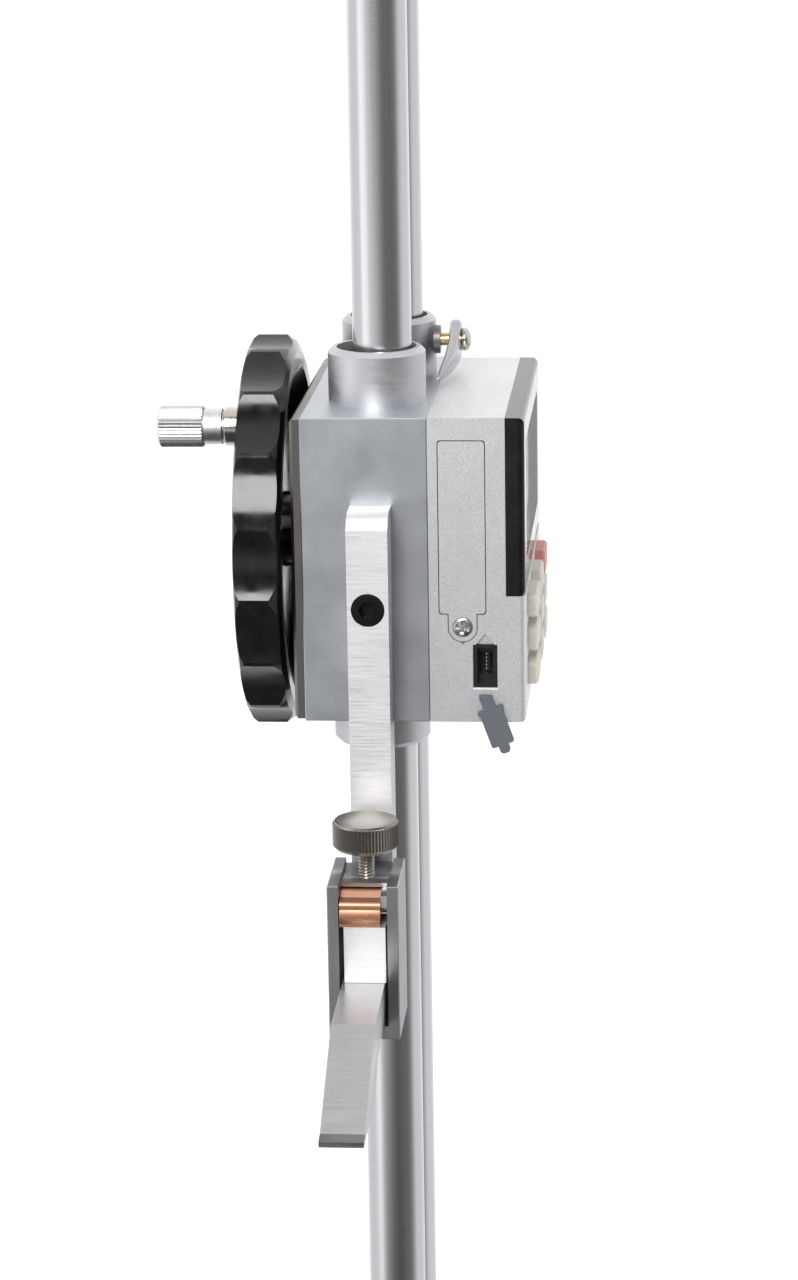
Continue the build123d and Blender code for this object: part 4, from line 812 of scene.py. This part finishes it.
def area_light(name, place, target, size, power):
    """A white rectangular light that faces its target."""
    light = bpy.data.lights.new(name, "AREA")
    light.shape = "RECTANGLE"
    light.size, light.size_y = size
    light.energy = power
    holder = bpy.data.objects.new(name, light)
    bpy.context.scene.collection.objects.link(holder)
    holder.location = place
    direction = Vector(target) - Vector(place)
    holder.rotation_euler = direction.to_track_quat("-Z", "Y").to_euler()
    return holder


def surroundings():
    """A white room with a dim side and shades behind the camera, and one bright window."""
    world = bpy.data.worlds.new("studio")
    bpy.context.scene.world = world
    world.use_nodes = True
    tree = world.node_tree
    tree.nodes.clear()
    output = tree.nodes.new("ShaderNodeOutputWorld")
    back = tree.nodes.new("ShaderNodeBackground")
    tree.links.new(back.outputs[0], output.inputs["Surface"])
    ray = tree.nodes.new("ShaderNodeTexCoord").outputs["Generated"]

    def lobe(direction, inner_deg, outer_deg):
        """1 near a direction, falling to 0 at the outer angle."""
        dot = tree.nodes.new("ShaderNodeVectorMath")
        dot.operation = "DOT_PRODUCT"
        tree.links.new(ray, dot.inputs[0])
        dot.inputs[1].default_value = Vector(direction).normalized()
        fade = tree.nodes.new("ShaderNodeMapRange")
        fade.interpolation_type = "SMOOTHSTEP"
        fade.inputs["From Min"].default_value = math.cos(math.radians(outer_deg))
        fade.inputs["From Max"].default_value = math.cos(math.radians(inner_deg))
        tree.links.new(dot.outputs["Value"], fade.inputs["Value"])
        return fade.outputs["Result"]

    def blend(below, above, factor):
        """The colour or socket below, covered by the one above by the factor."""
        mix = tree.nodes.new("ShaderNodeMix")
        mix.data_type = "RGBA"
        for socket, value in (("A", below), ("B", above)):
            if isinstance(value, tuple):
                mix.inputs[socket].default_value = (*value, 1)
            else:
                tree.links.new(value, mix.inputs[socket])
        tree.links.new(factor, mix.inputs["Factor"])
        return mix.outputs["Result"]

    room = ROOM_WHITE
    for color, direction, angles in (BACK_WALL, DIM_SIDE, SHADE_ABOVE, SHADE_BELOW, WINDOW):
        room = blend(room, color, lobe(direction, *angles))
    seen = tree.nodes.new("ShaderNodeLightPath").outputs["Is Camera Ray"]
    room = blend(room, ROOM_SEEN, seen)
    tree.links.new(room, back.inputs["Color"])
    back.inputs["Strength"].default_value = 1.0


def camera():
    """The viewpoint: a long lens, a little above the slider, almost in line with the scriber."""
    lens = bpy.data.cameras.new("camera")
    lens.sensor_fit = "HORIZONTAL"
    lens.sensor_width = SENSOR_WIDTH
    lens.lens = FOCAL_PX / FRAME_WIDTH_PX * SENSOR_WIDTH
    lens.clip_start, lens.clip_end = 0.05, 60.0
    holder = bpy.data.objects.new("camera", lens)
    bpy.context.scene.collection.objects.link(holder)
    heading, tilt, roll = (math.radians(angle)
                           for angle in (CAMERA_HEADING, CAMERA_TILT, CAMERA_ROLL))
    forward = Vector((math.cos(tilt) * -math.sin(heading), math.cos(tilt) * math.cos(heading),
                      math.sin(tilt)))
    level = forward.cross(Vector((0, 0, 1))).normalized()
    upright = level.cross(forward)
    right = level * math.cos(roll) - upright * math.sin(roll)
    up = upright * math.cos(roll) + level * math.sin(roll)
    turn = Matrix((right, up, -forward)).transposed()
    holder.matrix_world = Matrix.Translation(CAMERA_PLACE) @ turn.to_4x4()
    bpy.context.scene.camera = holder


def view_transform():
    """Colours come out as they are lit, with no film look."""
    scene = bpy.context.scene
    scene.view_settings.view_transform = "Standard"
    scene.view_settings.look = "None"


floor()
surroundings()
camera()
view_transform()
softbox_turn, softbox_rise = math.radians(SOFTBOX_SIDE), math.radians(SOFTBOX_RISE)
towards = Vector((-math.cos(softbox_rise) * math.cos(softbox_turn),
                  math.cos(softbox_rise) * math.sin(softbox_turn), math.sin(softbox_rise)))
area_light("softbox", WHEEL + towards * SOFTBOX_RANGE, WHEEL, SOFTBOX_SIZE, SOFTBOX_POWER)
top_light = area_light("top", TOP_LIGHT_PLACE, TOP_LIGHT_TARGET, TOP_LIGHT_SIZE, TOP_LIGHT_POWER)
top_light.visible_glossy = False
